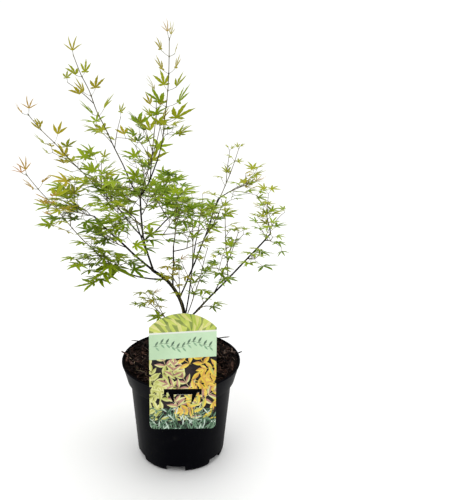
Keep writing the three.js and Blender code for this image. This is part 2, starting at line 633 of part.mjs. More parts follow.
// Pairs of leaves set crosswise up a stem, smaller towards its tip
function growLeaves(shoot, path, pairs, size, from) {
  for (let i = 0; i < pairs; i++) {
    const share = from + ((LAST_PAIR - from) * i) / Math.max(pairs - 1, 1);
    const along = directionAlong(path, share);
    const [level, upright] = squareTo(along);
    const young = 1 - YOUNG_SHRINK * share * share;
    const forward = i === pairs - 1 ? LAST_FORWARD : LEAF_FORWARD;
    const raised = YOUNG_RISE * shoot.vigour * share * Math.max(along.z, 0);
    for (const side of [0, Math.PI]) {
      for (let attempt = 0; attempt < LEAF_TRIES; attempt++) {
        const spread = (shoot.random() - 0.5) * (TURN_SPREAD + RETRY_SPREAD * attempt);
        const turn = side + (i % 2) * (Math.PI / 2) + FIRST_TURN + spread;
        const outward = level.clone().multiplyScalar(Math.cos(turn));
        outward.addScaledVector(upright, Math.sin(turn)).addScaledVector(along, forward).normalize();
        const stalk = size * young * (STALK_SHARE[0] + STALK_SHARE[1] * shoot.random());
        const blade = size * young * (LOBE_SHARE[0] + LOBE_SHARE[1] * shoot.random());
        const leaf = leafOf(pointAlong(path, share), outward, stalk, blade, raised, shoot.random);
        const tips = BLADE.filter(([, reach]) => reach > LONG_LOBE).map((tip) => bladePoint(leaf, ...tip));
        if (!standsApart(leaf) || !keepsToSpace([leaf.base, ...tips], shoot)) continue;
        leaf.shoot = shoot;
        grown.push(leaf);
        break;
      }
    }
  }
}

for (const shoot of shoots) growTwigs(shoot);
for (const shoot of shoots) {
  growLeaves(shoot, shoot.paths[0], shoot.pairs, shoot.leafSize, shoot.from);
  for (const twig of shoot.paths.slice(1)) {
    growLeaves(shoot, twig, TWIG_PAIRS, shoot.leafSize * TWIG_LEAF_SHARE, TWIG_LEAVES_FROM);
  }
}

// Each shoot's stem, twigs and leaves are fused. A leaf that still comes near another piece is skipped
const pieces = new Map(limbSolids);
for (const shoot of shoots) {
  let stem = rod(shoot.paths[0], ...STEM_RADIUS, TWIG_SIDES);
  for (const room of roomForLimbs) stem = stem.subtract(room);
  const thinFoot = ROOT_RADIUS - TWIG_RADIUS[0];
  const twigs = shoot.paths.slice(1).map((path) => rod(path, ...TWIG_RADIUS, TWIG_SIDES, 0, thinFoot));
  shoot.wood = largestBody(wasm.Manifold.union([stem, ...twigs]));
  pieces.set(shoot.name, shoot.wood);
}
for (const shoot of shoots) {
  let body = shoot.wood;
  for (const leaf of grown.filter((one) => one.shoot === shoot)) {
    const solid = leafSolid(leaf);
    const fused = NUDGES.map((nudge) => {
      const moved = solid.translate(...leaf.along.clone().multiplyScalar(nudge).toArray());
      const near = [...pieces].some(([name, piece]) => name !== shoot.name && piece.minGap(moved, 1) < GAP);
      return near ? null : cleaned(body.add(moved));
    }).find((one) => one && cornersApart(one));
    if (fused) body = fused;
  }
  shoot.solid = body;
  pieces.set(shoot.name, body);
}

// The finished plant
const black = new THREE.MeshStandardMaterial({ color: 0x17181b, roughness: 0.5 });
const mulch = new THREE.MeshStandardMaterial({ color: 0x2e1c14, roughness: 0.95 });
const card = new THREE.MeshStandardMaterial({ color: 0xcfe8cf, roughness: 0.4 });
const bark = new THREE.MeshStandardMaterial({ color: 0x2b2420, roughness: 0.8 });
const leafGreen = new THREE.MeshStandardMaterial({ color: 0x7aa32c, roughness: 0.6 });

const plant = new THREE.Group();
function place(name, solid, material) {
  const mesh = new THREE.Mesh(geometryOf(solid), material);
  mesh.name = name;
  plant.add(mesh);
}
place("pot", potSolid(), black);
place("mulch", soilSolid(), mulch);
place("label", labelSolid(), card);
for (const [name, solid] of limbSolids) place(name, solid, bark);
for (const shoot of shoots) place(shoot.name, shoot.solid, leafGreen);

export default plant;
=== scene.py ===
import json
import math

import bmesh
import bpy
import numpy as np
from mathutils import Matrix, Vector, noise

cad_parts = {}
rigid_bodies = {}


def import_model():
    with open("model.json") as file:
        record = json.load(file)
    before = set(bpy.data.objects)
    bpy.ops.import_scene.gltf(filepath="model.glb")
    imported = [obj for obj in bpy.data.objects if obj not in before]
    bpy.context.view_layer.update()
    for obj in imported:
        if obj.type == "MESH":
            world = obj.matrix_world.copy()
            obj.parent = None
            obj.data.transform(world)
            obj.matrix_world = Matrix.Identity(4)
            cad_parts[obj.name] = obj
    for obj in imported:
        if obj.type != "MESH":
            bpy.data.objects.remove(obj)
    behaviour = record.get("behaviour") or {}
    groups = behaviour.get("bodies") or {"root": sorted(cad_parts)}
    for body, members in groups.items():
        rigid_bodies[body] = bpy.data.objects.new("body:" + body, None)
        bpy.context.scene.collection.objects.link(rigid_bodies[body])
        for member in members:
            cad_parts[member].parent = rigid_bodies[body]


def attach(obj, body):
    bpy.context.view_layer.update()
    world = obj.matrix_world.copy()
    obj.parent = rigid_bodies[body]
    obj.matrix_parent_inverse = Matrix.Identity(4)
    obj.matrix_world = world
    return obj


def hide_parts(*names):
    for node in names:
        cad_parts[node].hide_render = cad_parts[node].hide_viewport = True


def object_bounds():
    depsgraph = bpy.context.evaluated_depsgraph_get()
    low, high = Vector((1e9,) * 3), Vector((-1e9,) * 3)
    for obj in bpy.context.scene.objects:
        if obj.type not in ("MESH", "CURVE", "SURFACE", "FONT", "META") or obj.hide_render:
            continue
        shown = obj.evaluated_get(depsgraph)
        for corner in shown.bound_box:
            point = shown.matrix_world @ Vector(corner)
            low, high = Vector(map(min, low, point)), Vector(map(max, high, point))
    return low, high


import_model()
cad_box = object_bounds()


# Stage: a plain pale floor that runs past every view, an even white sky, two softboxes and a wide overhead
# light. The camera stands a little over a metre off and looks down on the pot.
FLOOR_HALF_WIDTH = 40.0
FLOOR_DROP = 0.0002
FLOOR_COLOUR = (0.92, 0.92, 0.915)
SKY_STRENGTH = 0.68
OVERHEAD_STRENGTH = 1.6
OVERHEAD_SPREAD = math.radians(70)
OVERHEAD_HEIGHT = 2.5
OVERHEAD_TILT = math.radians(-12)
SOFTBOXES = [
    ("key_softbox", (-0.95, -1.35, 1.95), 1.3, 10.0),
    ("fill_softbox", (1.55, -0.75, 1.15), 1.2, 4.0),
]
LIT_POINT = Vector((-0.03, 0.0, 0.34))
CAMERA_PLACE = (0.0016, -1.1338, 0.8037)
CAMERA_LENS = 57.36
SENSOR_WIDTH = 36.0
FARTHEST_SEEN = 200.0
CAMERA_TURN_RIGHT = math.radians(4.17)
CAMERA_LOOK_DOWN = math.radians(21.49)
CAMERA_ROLL = math.radians(1.63)


def new_piece(name, mesh):
    piece = bpy.data.objects.new(name, mesh)
    bpy.context.collection.objects.link(piece)
    return piece


def piece_from(bm, name):
    mesh = bpy.data.meshes.new(name)
    bm.to_mesh(mesh)
    bm.free()
    return new_piece(name, mesh)


def finish_of(name, colour, roughness, specular=0.5):
    """A new material with its plain values on the shader's own sockets."""
    material = bpy.data.materials.new(name)
    material.use_nodes = True
    sockets = sockets_of(material)
    sockets["Base Color"].default_value = (*colour, 1.0)
    sockets["Roughness"].default_value = roughness
    sockets["Specular IOR Level"].default_value = specular
    return material


def sockets_of(material):
    return material.node_tree.nodes["Principled BSDF"].inputs


def speckle(material, scale, detail=4.0, stretch=(1.0, 1.0, 1.0)):
    """Soft noise over the piece's own space, as a value from 0 to 1."""
    nodes = material.node_tree.nodes
    links = material.node_tree.links
    place = nodes.new("ShaderNodeTexCoord")
    drawn_out = nodes.new("ShaderNodeMapping")
    drawn_out.inputs["Scale"].default_value = stretch
    pattern = nodes.new("ShaderNodeTexNoise")
    pattern.inputs["Scale"].default_value = scale
    pattern.inputs["Detail"].default_value = detail
    links.new(place.outputs["Object"], drawn_out.inputs["Vector"])
    links.new(drawn_out.outputs["Vector"], pattern.inputs["Vector"])
    return pattern.outputs["Fac"]


def coloured(material, stops, *grain):
    """The colour runs through stops of (value, colour) over a speckle of that grain."""
    value = speckle(material, *grain)
    ramp = material.node_tree.nodes.new("ShaderNodeValToRGB")
    while len(ramp.color_ramp.elements) < len(stops):
        ramp.color_ramp.elements.new(0.5)
    for element, (at, colour) in zip(ramp.color_ramp.elements, stops):
        element.position = at
        element.color = (*colour, 1.0)
    material.node_tree.links.new(value, ramp.inputs["Fac"])
    material.node_tree.links.new(ramp.outputs["Color"], sockets_of(material)["Base Color"])


def roughened(material, low, high, *grain):
    """The roughness runs from low to high over the middle of a speckle of that grain."""
    value = speckle(material, *grain)
    spread = material.node_tree.nodes.new("ShaderNodeMapRange")
    spread.inputs["From Min"].default_value = 0.3
    spread.inputs["From Max"].default_value = 0.7
    spread.inputs["To Min"].default_value = low
    spread.inputs["To Max"].default_value = high
    material.node_tree.links.new(value, spread.inputs["Value"])
    material.node_tree.links.new(spread.outputs["Result"], sockets_of(material)["Roughness"])


def embossed(material, depth, strength, *grain):
    """The surface stands up and down with a speckle of that grain, by depth in metres."""
    value = speckle(material, *grain)
    bump = material.node_tree.nodes.new("ShaderNodeBump")
    bump.inputs["Distance"].default_value = depth
    bump.inputs["Strength"].default_value = strength
    material.node_tree.links.new(value, bump.inputs["Height"])
    material.node_tree.links.new(bump.outputs["Normal"], sockets_of(material)["Normal"])


bm = bmesh.new()
bmesh.ops.create_grid(bm, x_segments=2, y_segments=2, size=FLOOR_HALF_WIDTH)
bmesh.ops.translate(bm, verts=bm.verts, vec=(0, 0, -FLOOR_DROP))
floor = piece_from(bm, "floor")
floor_paint = finish_of("floor_paint", FLOOR_COLOUR, 0.6)
roughened(floor_paint, 0.55, 0.65, 30.0)
floor.data.materials.append(floor_paint)

sky = bpy.data.worlds.new("white_sky")
sky.use_nodes = True
sky.node_tree.nodes["Background"].inputs["Color"].default_value = (1.0, 1.0, 1.0, 1.0)
sky.node_tree.nodes["Background"].inputs["Strength"].default_value = SKY_STRENGTH
bpy.context.scene.world = sky
bpy.context.scene.view_settings.view_transform = "Standard"

for name, place, size, power in SOFTBOXES:
    lamp = bpy.data.lights.new(name, "AREA")
    lamp.shape = "SQUARE"
    lamp.size = size
    lamp.energy = power
    softbox = bpy.data.objects.new(name, lamp)
    aim = (LIT_POINT - Vector(place)).to_track_quat("-Z", "Y")
    softbox.matrix_world = Matrix.Translation(place) @ aim.to_matrix().to_4x4()
    bpy.context.collection.objects.link(softbox)

overhead = bpy.data.lights.new("overhead_light", "SUN")
overhead.energy = OVERHEAD_STRENGTH
overhead.angle = OVERHEAD_SPREAD
ceiling = bpy.data.objects.new("overhead_light", overhead)
ceiling.matrix_world = Matrix.Translation((0, 0, OVERHEAD_HEIGHT)) @ Matrix.Rotation(OVERHEAD_TILT, 4, "X")
bpy.context.collection.objects.link(ceiling)

lens = bpy.data.cameras.new("camera")
lens.lens = CAMERA_LENS
lens.sensor_width = SENSOR_WIDTH
lens.clip_end = FARTHEST_SEEN
camera = bpy.data.objects.new("camera", lens)
camera.matrix_world = (
    Matrix.Translation(CAMERA_PLACE)
    @ Matrix.Rotation(-CAMERA_TURN_RIGHT, 4, "Z")
    @ Matrix.Rotation(math.radians(90) - CAMERA_LOOK_DOWN, 4, "X")
    @ Matrix.Rotation(CAMERA_ROLL, 4, "Z")
)
bpy.context.collection.objects.link(camera)
bpy.context.scene.camera = camera


# Pot: a thin round nursery pot moulded in black polypropylene, with a flared collar, a square lip, a lifted
# floor with drain holes, and a foot ring with six notches. Its edges are softly rounded by the mould.
MM = 0.001
POT_HEIGHT = 168.0
COLLAR_FOOT = 136.0
FLOOR_LIFT = 11.0
FLOOR_THICKNESS = 2.0
FLOOR_TOP = FLOOR_LIFT + FLOOR_THICKNESS
FOOT_RADIUS = 67.5
# radius and height, from the middle of the foot up the outside, over the lip and down the inside
POT_PROFILE = [
    (0, 0.3), (12.4, 0.3), (13, FLOOR_LIFT), (63.6, FLOOR_LIFT), (64, 0), (FOOT_RADIUS, 0), (70.4, 4.05),
    (71.4, 9), (81.5, COLLAR_FOOT - 1.5), (86.5, COLLAR_FOOT), (93.8, 165), (95, 165.6), (95, POT_HEIGHT),
    (92.2, POT_HEIGHT), (84.9, COLLAR_FOOT + 1.5), (79.9, COLLAR_FOOT), (69.8, FLOOR_TOP), (0, FLOOR_TOP),
]
POT_STEPS = 120
MOULD_ROUNDING = 0.7
EDGE_ROUNDING = 0.35
SHARP_CORNER = math.radians(18)
SHARP_EDGE = math.radians(50)
NOTCHES = 6
NOTCH_WIDTH = 31.0
NOTCH_DEPTH = 16.0
NOTCH_BEARING = -97.3
DRAIN_RADIUS = 5.0
DRAIN_CIRCLE = 44.0
DRAIN_LENGTH = 14.0
DRAIN_SIDES = 24


def spun(profile, steps):
    """A closed shell: a line of (radius, height) in millimetres, spun round the pot's axis."""
    bm = bmesh.new()
    line = [bm.verts.new((r * MM, 0, z * MM)) for r, z in profile]
    edges = [bm.edges.new(pair) for pair in zip(line, line[1:])]
    bmesh.ops.spin(bm, geom=line + edges, cent=(0, 0, 0), axis=(0, 0, 1), angle=2 * math.pi, steps=steps,
                   use_merge=True)
    bmesh.ops.remove_doubles(bm, verts=bm.verts, dist=1e-6)
    bmesh.ops.recalc_face_normals(bm, faces=bm.faces)
    return bm


def shaded_smooth(piece, degrees):
    piece.data.shade_smooth()
    piece.data.set_sharp_from_angle(angle=math.radians(degrees))


bm = spun(POT_PROFILE, POT_STEPS)
corners = [e for e in bm.edges if abs(e.verts[0].co.z - e.verts[1].co.z) < 1e-6
           and e.is_manifold and e.calc_face_angle() > SHARP_CORNER]
bmesh.ops.bevel(bm, geom=corners, offset=MOULD_ROUNDING * MM, offset_type="OFFSET", segments=3, profile=0.5,
                affect="EDGES", material=-1, clamp_overlap=True)
pot = piece_from(bm, "nursery_pot")

cutter_bm = bmesh.new()
for i in range(NOTCHES):
    turn = Matrix.Rotation(math.radians(360 / NOTCHES * i + NOTCH_BEARING), 4, "Z")
    notch = Matrix.Translation((FOOT_RADIUS * MM, 0, -0.2 * MM))
    size = Matrix.Diagonal((NOTCH_DEPTH * MM, NOTCH_WIDTH * MM, 2 * FLOOR_LIFT * MM, 1))
    bmesh.ops.create_cube(cutter_bm, size=1, matrix=turn @ notch @ size)
    drain = Matrix.Translation((DRAIN_CIRCLE * MM, 0, FLOOR_LIFT * MM))
    bmesh.ops.create_cone(cutter_bm, cap_ends=True, segments=DRAIN_SIDES, radius1=DRAIN_RADIUS * MM,
                          radius2=DRAIN_RADIUS * MM, depth=DRAIN_LENGTH * MM, matrix=turn @ drain)
cutter = piece_from(cutter_bm, "pot_cutter")
cut = pot.modifiers.new("notches", "BOOLEAN")
cut.operation = "DIFFERENCE"
cut.solver = "EXACT"
cut.object = cutter
bpy.context.view_layer.update()
notched = bpy.data.meshes.new_from_object(pot.evaluated_get(bpy.context.evaluated_depsgraph_get()))
pot.modifiers.remove(cut)
pot.data = notched
bpy.data.objects.remove(cutter)
softened = pot.modifiers.new("soft_edges", "BEVEL")
softened.limit_method = "ANGLE"
softened.angle_limit = SHARP_EDGE
softened.width = EDGE_ROUNDING * MM
softened.segments = 2
shaded_smooth(pot, 40)

pot_plastic = finish_of("pot_plastic", (0.003, 0.003, 0.0034), 0.40, 0.02)
coloured(pot_plastic, [
    (0.30, (0.0005, 0.0006, 0.0016)), (0.58, (0.0008, 0.0009, 0.0022)), (0.72, (0.0024, 0.0024, 0.0034)),
    (0.84, (0.010, 0.0095, 0.009)),
], 55.0, 9.0)
roughened(pot_plastic, 0.34, 0.50, 18.0, 6.0, (1.0, 1.0, 0.35))
embossed(pot_plastic, 0.08 * MM, 0.3, 900.0, 3.0)
pot.data.materials.clear()
pot.data.materials.append(pot_plastic)
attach(pot, "root")
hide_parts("pot")


# Mulch: shredded bark that fills the pot to just under the rim and heaps up towards the trunk. Under the
# loose chips lies a lumpy bed of the same, painted near black as the shade in the gaps between chips.
BED_EDGE_RADIUS = 91.2
BED_EDGE_HEIGHT = 166.0
BED_RISE = 2.6
BED_FLOOR = FLOOR_TOP + 0.4
BED_RINGS = 34
BED_LUMP = 1.3
BED_GRAIN = 0.9
BED_STEPS = 110
CHIPS = 1350
CHIP_KINDS = 6
CHIP_SEED = 41
CHIP_SHORTEST = 7
CHIP_LENGTHS = 22
CHIP_INNER_RADIUS = 7.0
CHIP_CENTRES_WITHIN = 88.5
CHIP_OUTER_RADIUS = 91.6
NEAR_RIM_FROM = 80
TONE_SHARES = [0.42, 0.28, 0.20, 0.10]
GREY_TONE = 3
STRAW_TONE = 4
FIBRES = 70
FIBRES_WITHIN = 84
# bearing round the rim and heading in degrees, length and tone of the splinters that lie over the lip
LIP_SPLINTERS = [(7, 35, 18, 0), (44, 6, 27, 1), (66, 50, 16, 0), (143, 172, 22, 0), (171, 140, 16, 2),
                 (206, 190, 15, 0)]
SPLINTERS_FROM = 91


def around(radius, angle):
    return radius * math.cos(angle), radius * math.sin(angle)


def bed_height(x, y):
    """Height of the mulch in millimetres, at a place in millimetres."""
    share = 1 - min(math.hypot(x, y) / BED_EDGE_RADIUS, 1)
    lumps = noise.noise(Vector((x, y, 0)) * 0.06) + 0.6 * noise.noise(Vector((x, y, 9)) * 0.19)
    return BED_EDGE_HEIGHT + BED_RISE * math.sin(share * math.pi / 2) + BED_LUMP * lumps


profile = [(0, BED_FLOOR), (69.2, BED_FLOOR), (79.2, COLLAR_FOOT + 1), (84.2, COLLAR_FOOT + 3),
           (BED_EDGE_RADIUS, BED_EDGE_HEIGHT)]
profile += [(BED_EDGE_RADIUS * (1 - i / BED_RINGS), BED_EDGE_HEIGHT + 1) for i in range(1, BED_RINGS + 1)]
bm = spun(profile, BED_STEPS)
for vert in bm.verts:
    x, y, z = vert.co / MM
    if z > BED_EDGE_HEIGHT + 0.5:
        vert.co.z = (bed_height(x, y) + BED_GRAIN * noise.noise(Vector((x, y, 3)) * 0.55)) * MM
bed = piece_from(bm, "mulch_bed")
shaded_smooth(bed, 60)
# the bed's near-black colour is painted shade for the gaps between the chips, darker than the bark itself
bed_shade_paint = finish_of("mulch_bed_painted_shade", (0.012, 0.008, 0.006), 0.95, 0.05)
coloured(bed_shade_paint, [
    (0.36, (0.0012, 0.0008, 0.0007)), (0.54, (0.006, 0.0038, 0.003)), (0.70, (0.030, 0.018, 0.013)),
], 420.0, 8.0)
embossed(bed_shade_paint, 1.6 * MM, 1.0, 520.0, 8.0)
bed.data.materials.append(bed_shade_paint)
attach(bed, "root")
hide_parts("mulch")


def chip_shape(kind):
    """One splinter of bark, a unit long: a narrow bar, bent, split at its ends and rough all round."""
    bm = bmesh.new()
    bmesh.ops.create_cube(bm, size=1, matrix=Matrix.Diagonal((1, 0.30 + 0.05 * (kind % 3), 0.15, 1)))
    long_edges = [e for e in bm.edges if abs(e.verts[0].co.x - e.verts[1].co.x) > 0.5]
    bmesh.ops.subdivide_edges(bm, edges=long_edges, cuts=3, use_grid_fill=True)
    for vert in bm.verts:
        x, y, z = vert.co
        rough = noise.noise_vector(Vector((x * 3, y * 7, z * 9)) + Vector((kind * 5.1, 0, 0)))
        narrow = 1 - 0.55 * (2 * abs(x)) ** 3 * (0.6 + 0.4 * math.sin(kind * 2.3 + x))
        bend = 0.10 * math.sin(kind + 1) * (1 - 4 * x * x)
        vert.co = Vector((x * (1 + 0.16 * rough.x), y * narrow, z * narrow + bend)) + rough * 0.055
    bmesh.ops.recalc_face_normals(bm, faces=bm.faces)
    return piece_arrays(bm)


def piece_arrays(bm):
    """Corners, faces and the material of each face of a small shape that is to be repeated."""
    bm.verts.index_update()
    corners = np.array([v.co[:] for v in bm.verts])
    faces = [[v.index for v in face.verts] for face in bm.faces]
    coats = [face.material_index for face in bm.faces]
    bm.free()
    return corners, faces, coats


def joined(name, copies, materials):
    """One piece from many small shapes, each given as corners, faces and the material of each face."""
    corners = np.concatenate([places for places, _, _ in copies])
    starts = np.cumsum([0] + [len(places) for places, _, _ in copies])
    faces = [[start + i for i in face] for start, (_, shape, _) in zip(starts, copies) for face in shape]
    mesh = bpy.data.meshes.new(name)
    mesh.from_pydata(corners.tolist(), [], faces)
    mesh.polygons.foreach_set("material_index", [coat for _, _, coats in copies for coat in coats])
    for material in materials:
        mesh.materials.append(material)
    return new_piece(name, mesh)


def bark_chip_finish(name, dark, light):
    material = finish_of(name, dark, 0.9, 0.12)
    coloured(material, [(0.40, dark), (0.64, light)], 260.0, 6.0, (1.0, 0.35, 1.0))
    embossed(material, 0.5 * MM, 0.9, 700.0, 4.0)
    return material


chip_finishes = [
    bark_chip_finish("chip_black_brown", (0.0022, 0.0013, 0.0012), (0.009, 0.0055, 0.0045)),
    bark_chip_finish("chip_umber", (0.008, 0.0040, 0.0032), (0.034, 0.018, 0.0135)),
    bark_chip_finish("chip_red_brown", (0.030, 0.014, 0.0105), (0.110, 0.058, 0.043)),
    bark_chip_finish("chip_grey_brown", (0.055, 0.036, 0.030), (0.200, 0.142, 0.118)),
    bark_chip_finish("chip_straw", (0.20, 0.15, 0.095), (0.33, 0.26, 0.17)),
]
# without a seed the vector noise starts from the clock, and the chips differ from run to run
noise.seed_set(CHIP_SEED)
chip_shapes = [chip_shape(kind) for kind in range(CHIP_KINDS)]
draw = np.random.default_rng(CHIP_SEED)
chips = []


def lay_chip(kind, bulk, turn, place, tone):
    corners, faces, _ = chip_shapes[kind]
    places = (corners * bulk) @ np.array(turn).T + place
    chips.append((places * MM, faces, [tone] * len(faces)))


while len(chips) < CHIPS:
    radius = CHIP_CENTRES_WITHIN * math.sqrt(draw.random())
    bearing = draw.random() * 2 * math.pi
    yaw = draw.random() * math.pi
    length = CHIP_SHORTEST + CHIP_LENGTHS * draw.random() ** 2
    skew = yaw - bearing
    reach = radius + 0.56 * length * abs(math.cos(skew)) + 0.2 * length * abs(math.sin(skew))
    if reach > CHIP_OUTER_RADIUS or radius < CHIP_INNER_RADIUS:
        continue
    x, y = around(radius, bearing)
    lift = 0.3 + 3.6 * draw.random() ** 1.5
    freedom = 0.5 if radius > NEAR_RIM_FROM else 1.0
    turn = (Matrix.Rotation(yaw, 3, "Z") @ Matrix.Rotation(freedom * draw.normal(0, 0.36), 3, "Y")
            @ Matrix.Rotation(draw.normal(0, 0.9), 3, "X"))
    kind = int(draw.integers(CHIP_KINDS))
    bulk = np.array([length, length ** 0.75 * (1.1 + 0.7 * draw.random()), 5.0 + 4.0 * draw.random()])
    tone = int(draw.choice(len(TONE_SHARES), p=TONE_SHARES))
    lay_chip(kind, bulk, turn, (x, y, bed_height(x, y) + lift), tone)
for i in range(FIBRES):
    radius = FIBRES_WITHIN * math.sqrt(draw.random())
    bearing = draw.random() * 2 * math.pi
    yaw = bearing + math.pi / 2 + draw.normal(0, 0.5)
    x, y = around(radius, bearing)
    turn = Matrix.Rotation(yaw, 3, "Z") @ Matrix.Rotation(draw.normal(0, 0.12), 3, "Y")
    bulk = np.array([9 + 9 * draw.random(), 1.6, 3.2])
    tone = STRAW_TONE if i % 2 else GREY_TONE
    lay_chip(i % CHIP_KINDS, bulk, turn, (x, y, bed_height(x, y) + 3.2), tone)
for bearing, heading, length, tone in LIP_SPLINTERS:
    radius = SPLINTERS_FROM + draw.random() * 3
    turn = Matrix.Rotation(math.radians(heading), 3, "Z") @ Matrix.Rotation(-0.10, 3, "Y")
    place = (*around(radius, math.radians(bearing)), POT_HEIGHT + 2.2)
    lay_chip(tone, np.array([length, 6.0, 8.0]), turn, place, tone)
mulch_chips = joined("mulch_chips", chips, chip_finishes)
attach(mulch_chips, "root")
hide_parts("mulch")


# Label: a printed plastic card with a domed head. A die-cut slot hooks over the pot's lip, and the tongue
# below the slot springs out. The print is plain: a green field, a mint band, and leaves on dark ground.
LABEL_WIDTH = 100.0
LABEL_SIDE = 162.0
LABEL_DOME = 22.0
LABEL_CORNER = 8.0
LABEL_THICKNESS = 0.8
LABEL_LEAN = math.radians(8)
LABEL_BELOW_RIM = 62.0
LABEL_OUT = 93.4
LABEL_ASIDE = 2.5
LABEL_SUNK = 3.0
RIM_GAP = 0.38
SLOT_HALF = 28.5
SLOT_FOOT = 59.0
SLOT_TOP = 65.0
EAR_INNER = 24.5
EAR_FOOT = 55.0
TONGUE_HINGE = 43.0
TONGUE_END = 58.0
TONGUE_OUT = math.radians(14)
# half width at the foot, and how much it widens over what height
WINDOW_HALF, WINDOW_SPREAD, WINDOW_RISE = 15, 7.5, 17
TONGUE_HALF, TONGUE_SPREAD, TONGUE_RISE = 12.5, 1.3, 16
BAND_FOOT = 114.0
BAND_TOP = 156.0
BAND_SLOPE = 0.055
BAND_LINE = 2.6
SPRIGS_FOOT = 14
SAGE_TOP = 36.0
SAGE_BLADES = 260


def arc(x, y, radius, start, end, steps):
    angles = [math.radians(start + (end - start) * i / steps) for i in range(steps + 1)]
    return [(x + radius * math.cos(a), y + radius * math.sin(a)) for a in angles]


def card_outline():
    """The card's edge in its own plane, anticlockwise from its foot: x across, y up, in millimetres."""
    half = LABEL_WIDTH / 2
    dome_radius = (half ** 2 + LABEL_DOME ** 2) / (2 * LABEL_DOME)
    swing = math.degrees(math.asin(half / dome_radius))
    feet = arc(half - LABEL_CORNER, LABEL_CORNER, LABEL_CORNER, -90, 0, 6)
    head = arc(0, LABEL_SIDE + LABEL_DOME - dome_radius, dome_radius, 90 - swing, 90 + swing, 20)
    far_foot = arc(-half + LABEL_CORNER, LABEL_CORNER, LABEL_CORNER, 180, 270, 6)
    return feet + head + far_foot


def window_half(y):
    """Half the width of the opening round the tongue."""
    return WINDOW_HALF + WINDOW_SPREAD * (y - TONGUE_HINGE) / WINDOW_RISE


def tongue_half(y):
    return TONGUE_HALF + TONGUE_SPREAD * (y - TONGUE_HINGE + 1) / TONGUE_RISE


def split_along(bm, point, normal, clear=False):
    bmesh.ops.bisect_plane(bm, geom=bm.verts[:] + bm.edges[:] + bm.faces[:], dist=1e-6, plane_co=(*point, 0),
                           plane_no=(*normal, 0), clear_outer=clear)


def die_cut(bm):
    """Cuts a flat sheet to the card's edge, its slot and the tongue, and springs the tongue."""
    outline = card_outline()
    for (ax, ay), (bx, by) in zip(outline, outline[1:] + outline[:1]):
        split_along(bm, (ax, ay), (by - ay, ax - bx), clear=True)
    for y in (SLOT_FOOT, SLOT_TOP, EAR_FOOT, TONGUE_HINGE, TONGUE_END):
        split_along(bm, (0, y), (0, 1))
    for side in (-1, 1):
        split_along(bm, (side * SLOT_HALF, 0), (1, 0))
        split_along(bm, (side * EAR_INNER, 0), (1, 0))
        window, tongue = side * window_half(TONGUE_HINGE), side * tongue_half(TONGUE_HINGE)
        split_along(bm, (window, TONGUE_HINGE), (WINDOW_RISE, -side * WINDOW_SPREAD))
        split_along(bm, (tongue, TONGUE_HINGE), (TONGUE_RISE, -side * TONGUE_SPREAD))
    gone = []
    sprung = set()
    for face in bm.faces:
        x, y, _ = face.calc_center_median()
        slot = abs(x) < SLOT_HALF and SLOT_FOOT < y < SLOT_TOP
        ear = EAR_INNER < abs(x) < SLOT_HALF and EAR_FOOT < y < SLOT_TOP
        window = TONGUE_HINGE < y < SLOT_TOP and abs(x) < window_half(y)
        tongue = TONGUE_HINGE < y < TONGUE_END and abs(x) < tongue_half(y)
        if tongue:
            sprung.update(face.verts)
        elif slot or ear or window:
            gone.append(face)
    bmesh.ops.delete(bm, geom=gone, context="FACES")
    sprung = [v for v in sprung if v.is_valid and v.co.y > TONGUE_HINGE + 1e-4]
    spring = Matrix.Rotation(TONGUE_OUT, 3, "X")
    bmesh.ops.rotate(bm, verts=sprung, cent=(0, TONGUE_HINGE, 0), matrix=spring)


def hung_on_rim(bm):
    """Stands the flat card up with its face to the front, leans it back, and hangs it at the rim."""
    hang = Matrix.Translation((LABEL_ASIDE, -LABEL_OUT, POT_HEIGHT + RIM_GAP - LABEL_SUNK))
    turn = Matrix.Rotation(math.radians(90) - LABEL_LEAN, 4, "X")
    stand = Matrix.Translation((0, -LABEL_BELOW_RIM, 0))
    bmesh.ops.transform(bm, verts=bm.verts, matrix=Matrix.Scale(MM, 4) @ hang @ turn @ stand)


bm = bmesh.new()
head = LABEL_SIDE + LABEL_DOME
size = Matrix.Diagonal((LABEL_WIDTH + 2, head + 2, 1, 1))
bmesh.ops.create_grid(bm, x_segments=16, y_segments=28, size=0.5,
                      matrix=Matrix.Translation((0, head / 2, LABEL_THICKNESS)) @ size)
for level in (BAND_FOOT, BAND_TOP - BAND_LINE, BAND_TOP):
    split_along(bm, (0, level), (-BAND_SLOPE, 1))
die_cut(bm)
fronts = bm.faces[:]
for face in fronts:
    x, y, _ = face.calc_center_median()
    level = y - BAND_SLOPE * x
    face.material_index = 1 if level > BAND_TOP else 2 if level > BAND_TOP - BAND_LINE else 3
    if level < BAND_FOOT:
        face.material_index = 4
back = bmesh.ops.extrude_face_region(bm, geom=fronts, use_keep_orig=True)["geom"]
behind = [g for g in back if isinstance(g, bmesh.types.BMVert)]
bmesh.ops.translate(bm, verts=behind, vec=(0, 0, -LABEL_THICKNESS))
for face in bm.faces:
    if face not in fronts:
        face.material_index = 0
bmesh.ops.recalc_face_normals(bm, faces=bm.faces)
hung_on_rim(bm)
card = piece_from(bm, "label_card")


def ink(name, dark, light, scale=55.0):
    """Glossy print on the card, whose colour drifts between two tones."""
    material = finish_of(name, light, 0.32, 0.15)
    sockets_of(material)["Coat Weight"].default_value = 0.06
    sockets_of(material)["Coat Roughness"].default_value = 0.18
    coloured(material, [(0.38, dark), (0.62, light)], scale, 5.0)
    roughened(material, 0.27, 0.37, 160.0, 3.0)
    return material


for coat in [
    ink("card_white", (0.62, 0.63, 0.60), (0.72, 0.73, 0.70)),
    ink("print_olive_field", (0.20, 0.26, 0.065), (0.42, 0.47, 0.16), 38.0),
    ink("print_white_line", (0.74, 0.78, 0.70), (0.80, 0.83, 0.76)),
    ink("print_mint_band", (0.50, 0.68, 0.45), (0.57, 0.76, 0.52), 20.0),
    ink("print_dark_ground", (0.004, 0.003, 0.004), (0.022, 0.015, 0.016), 85.0),
]:
    card.data.materials.append(coat)
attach(card, "root")
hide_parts("label")


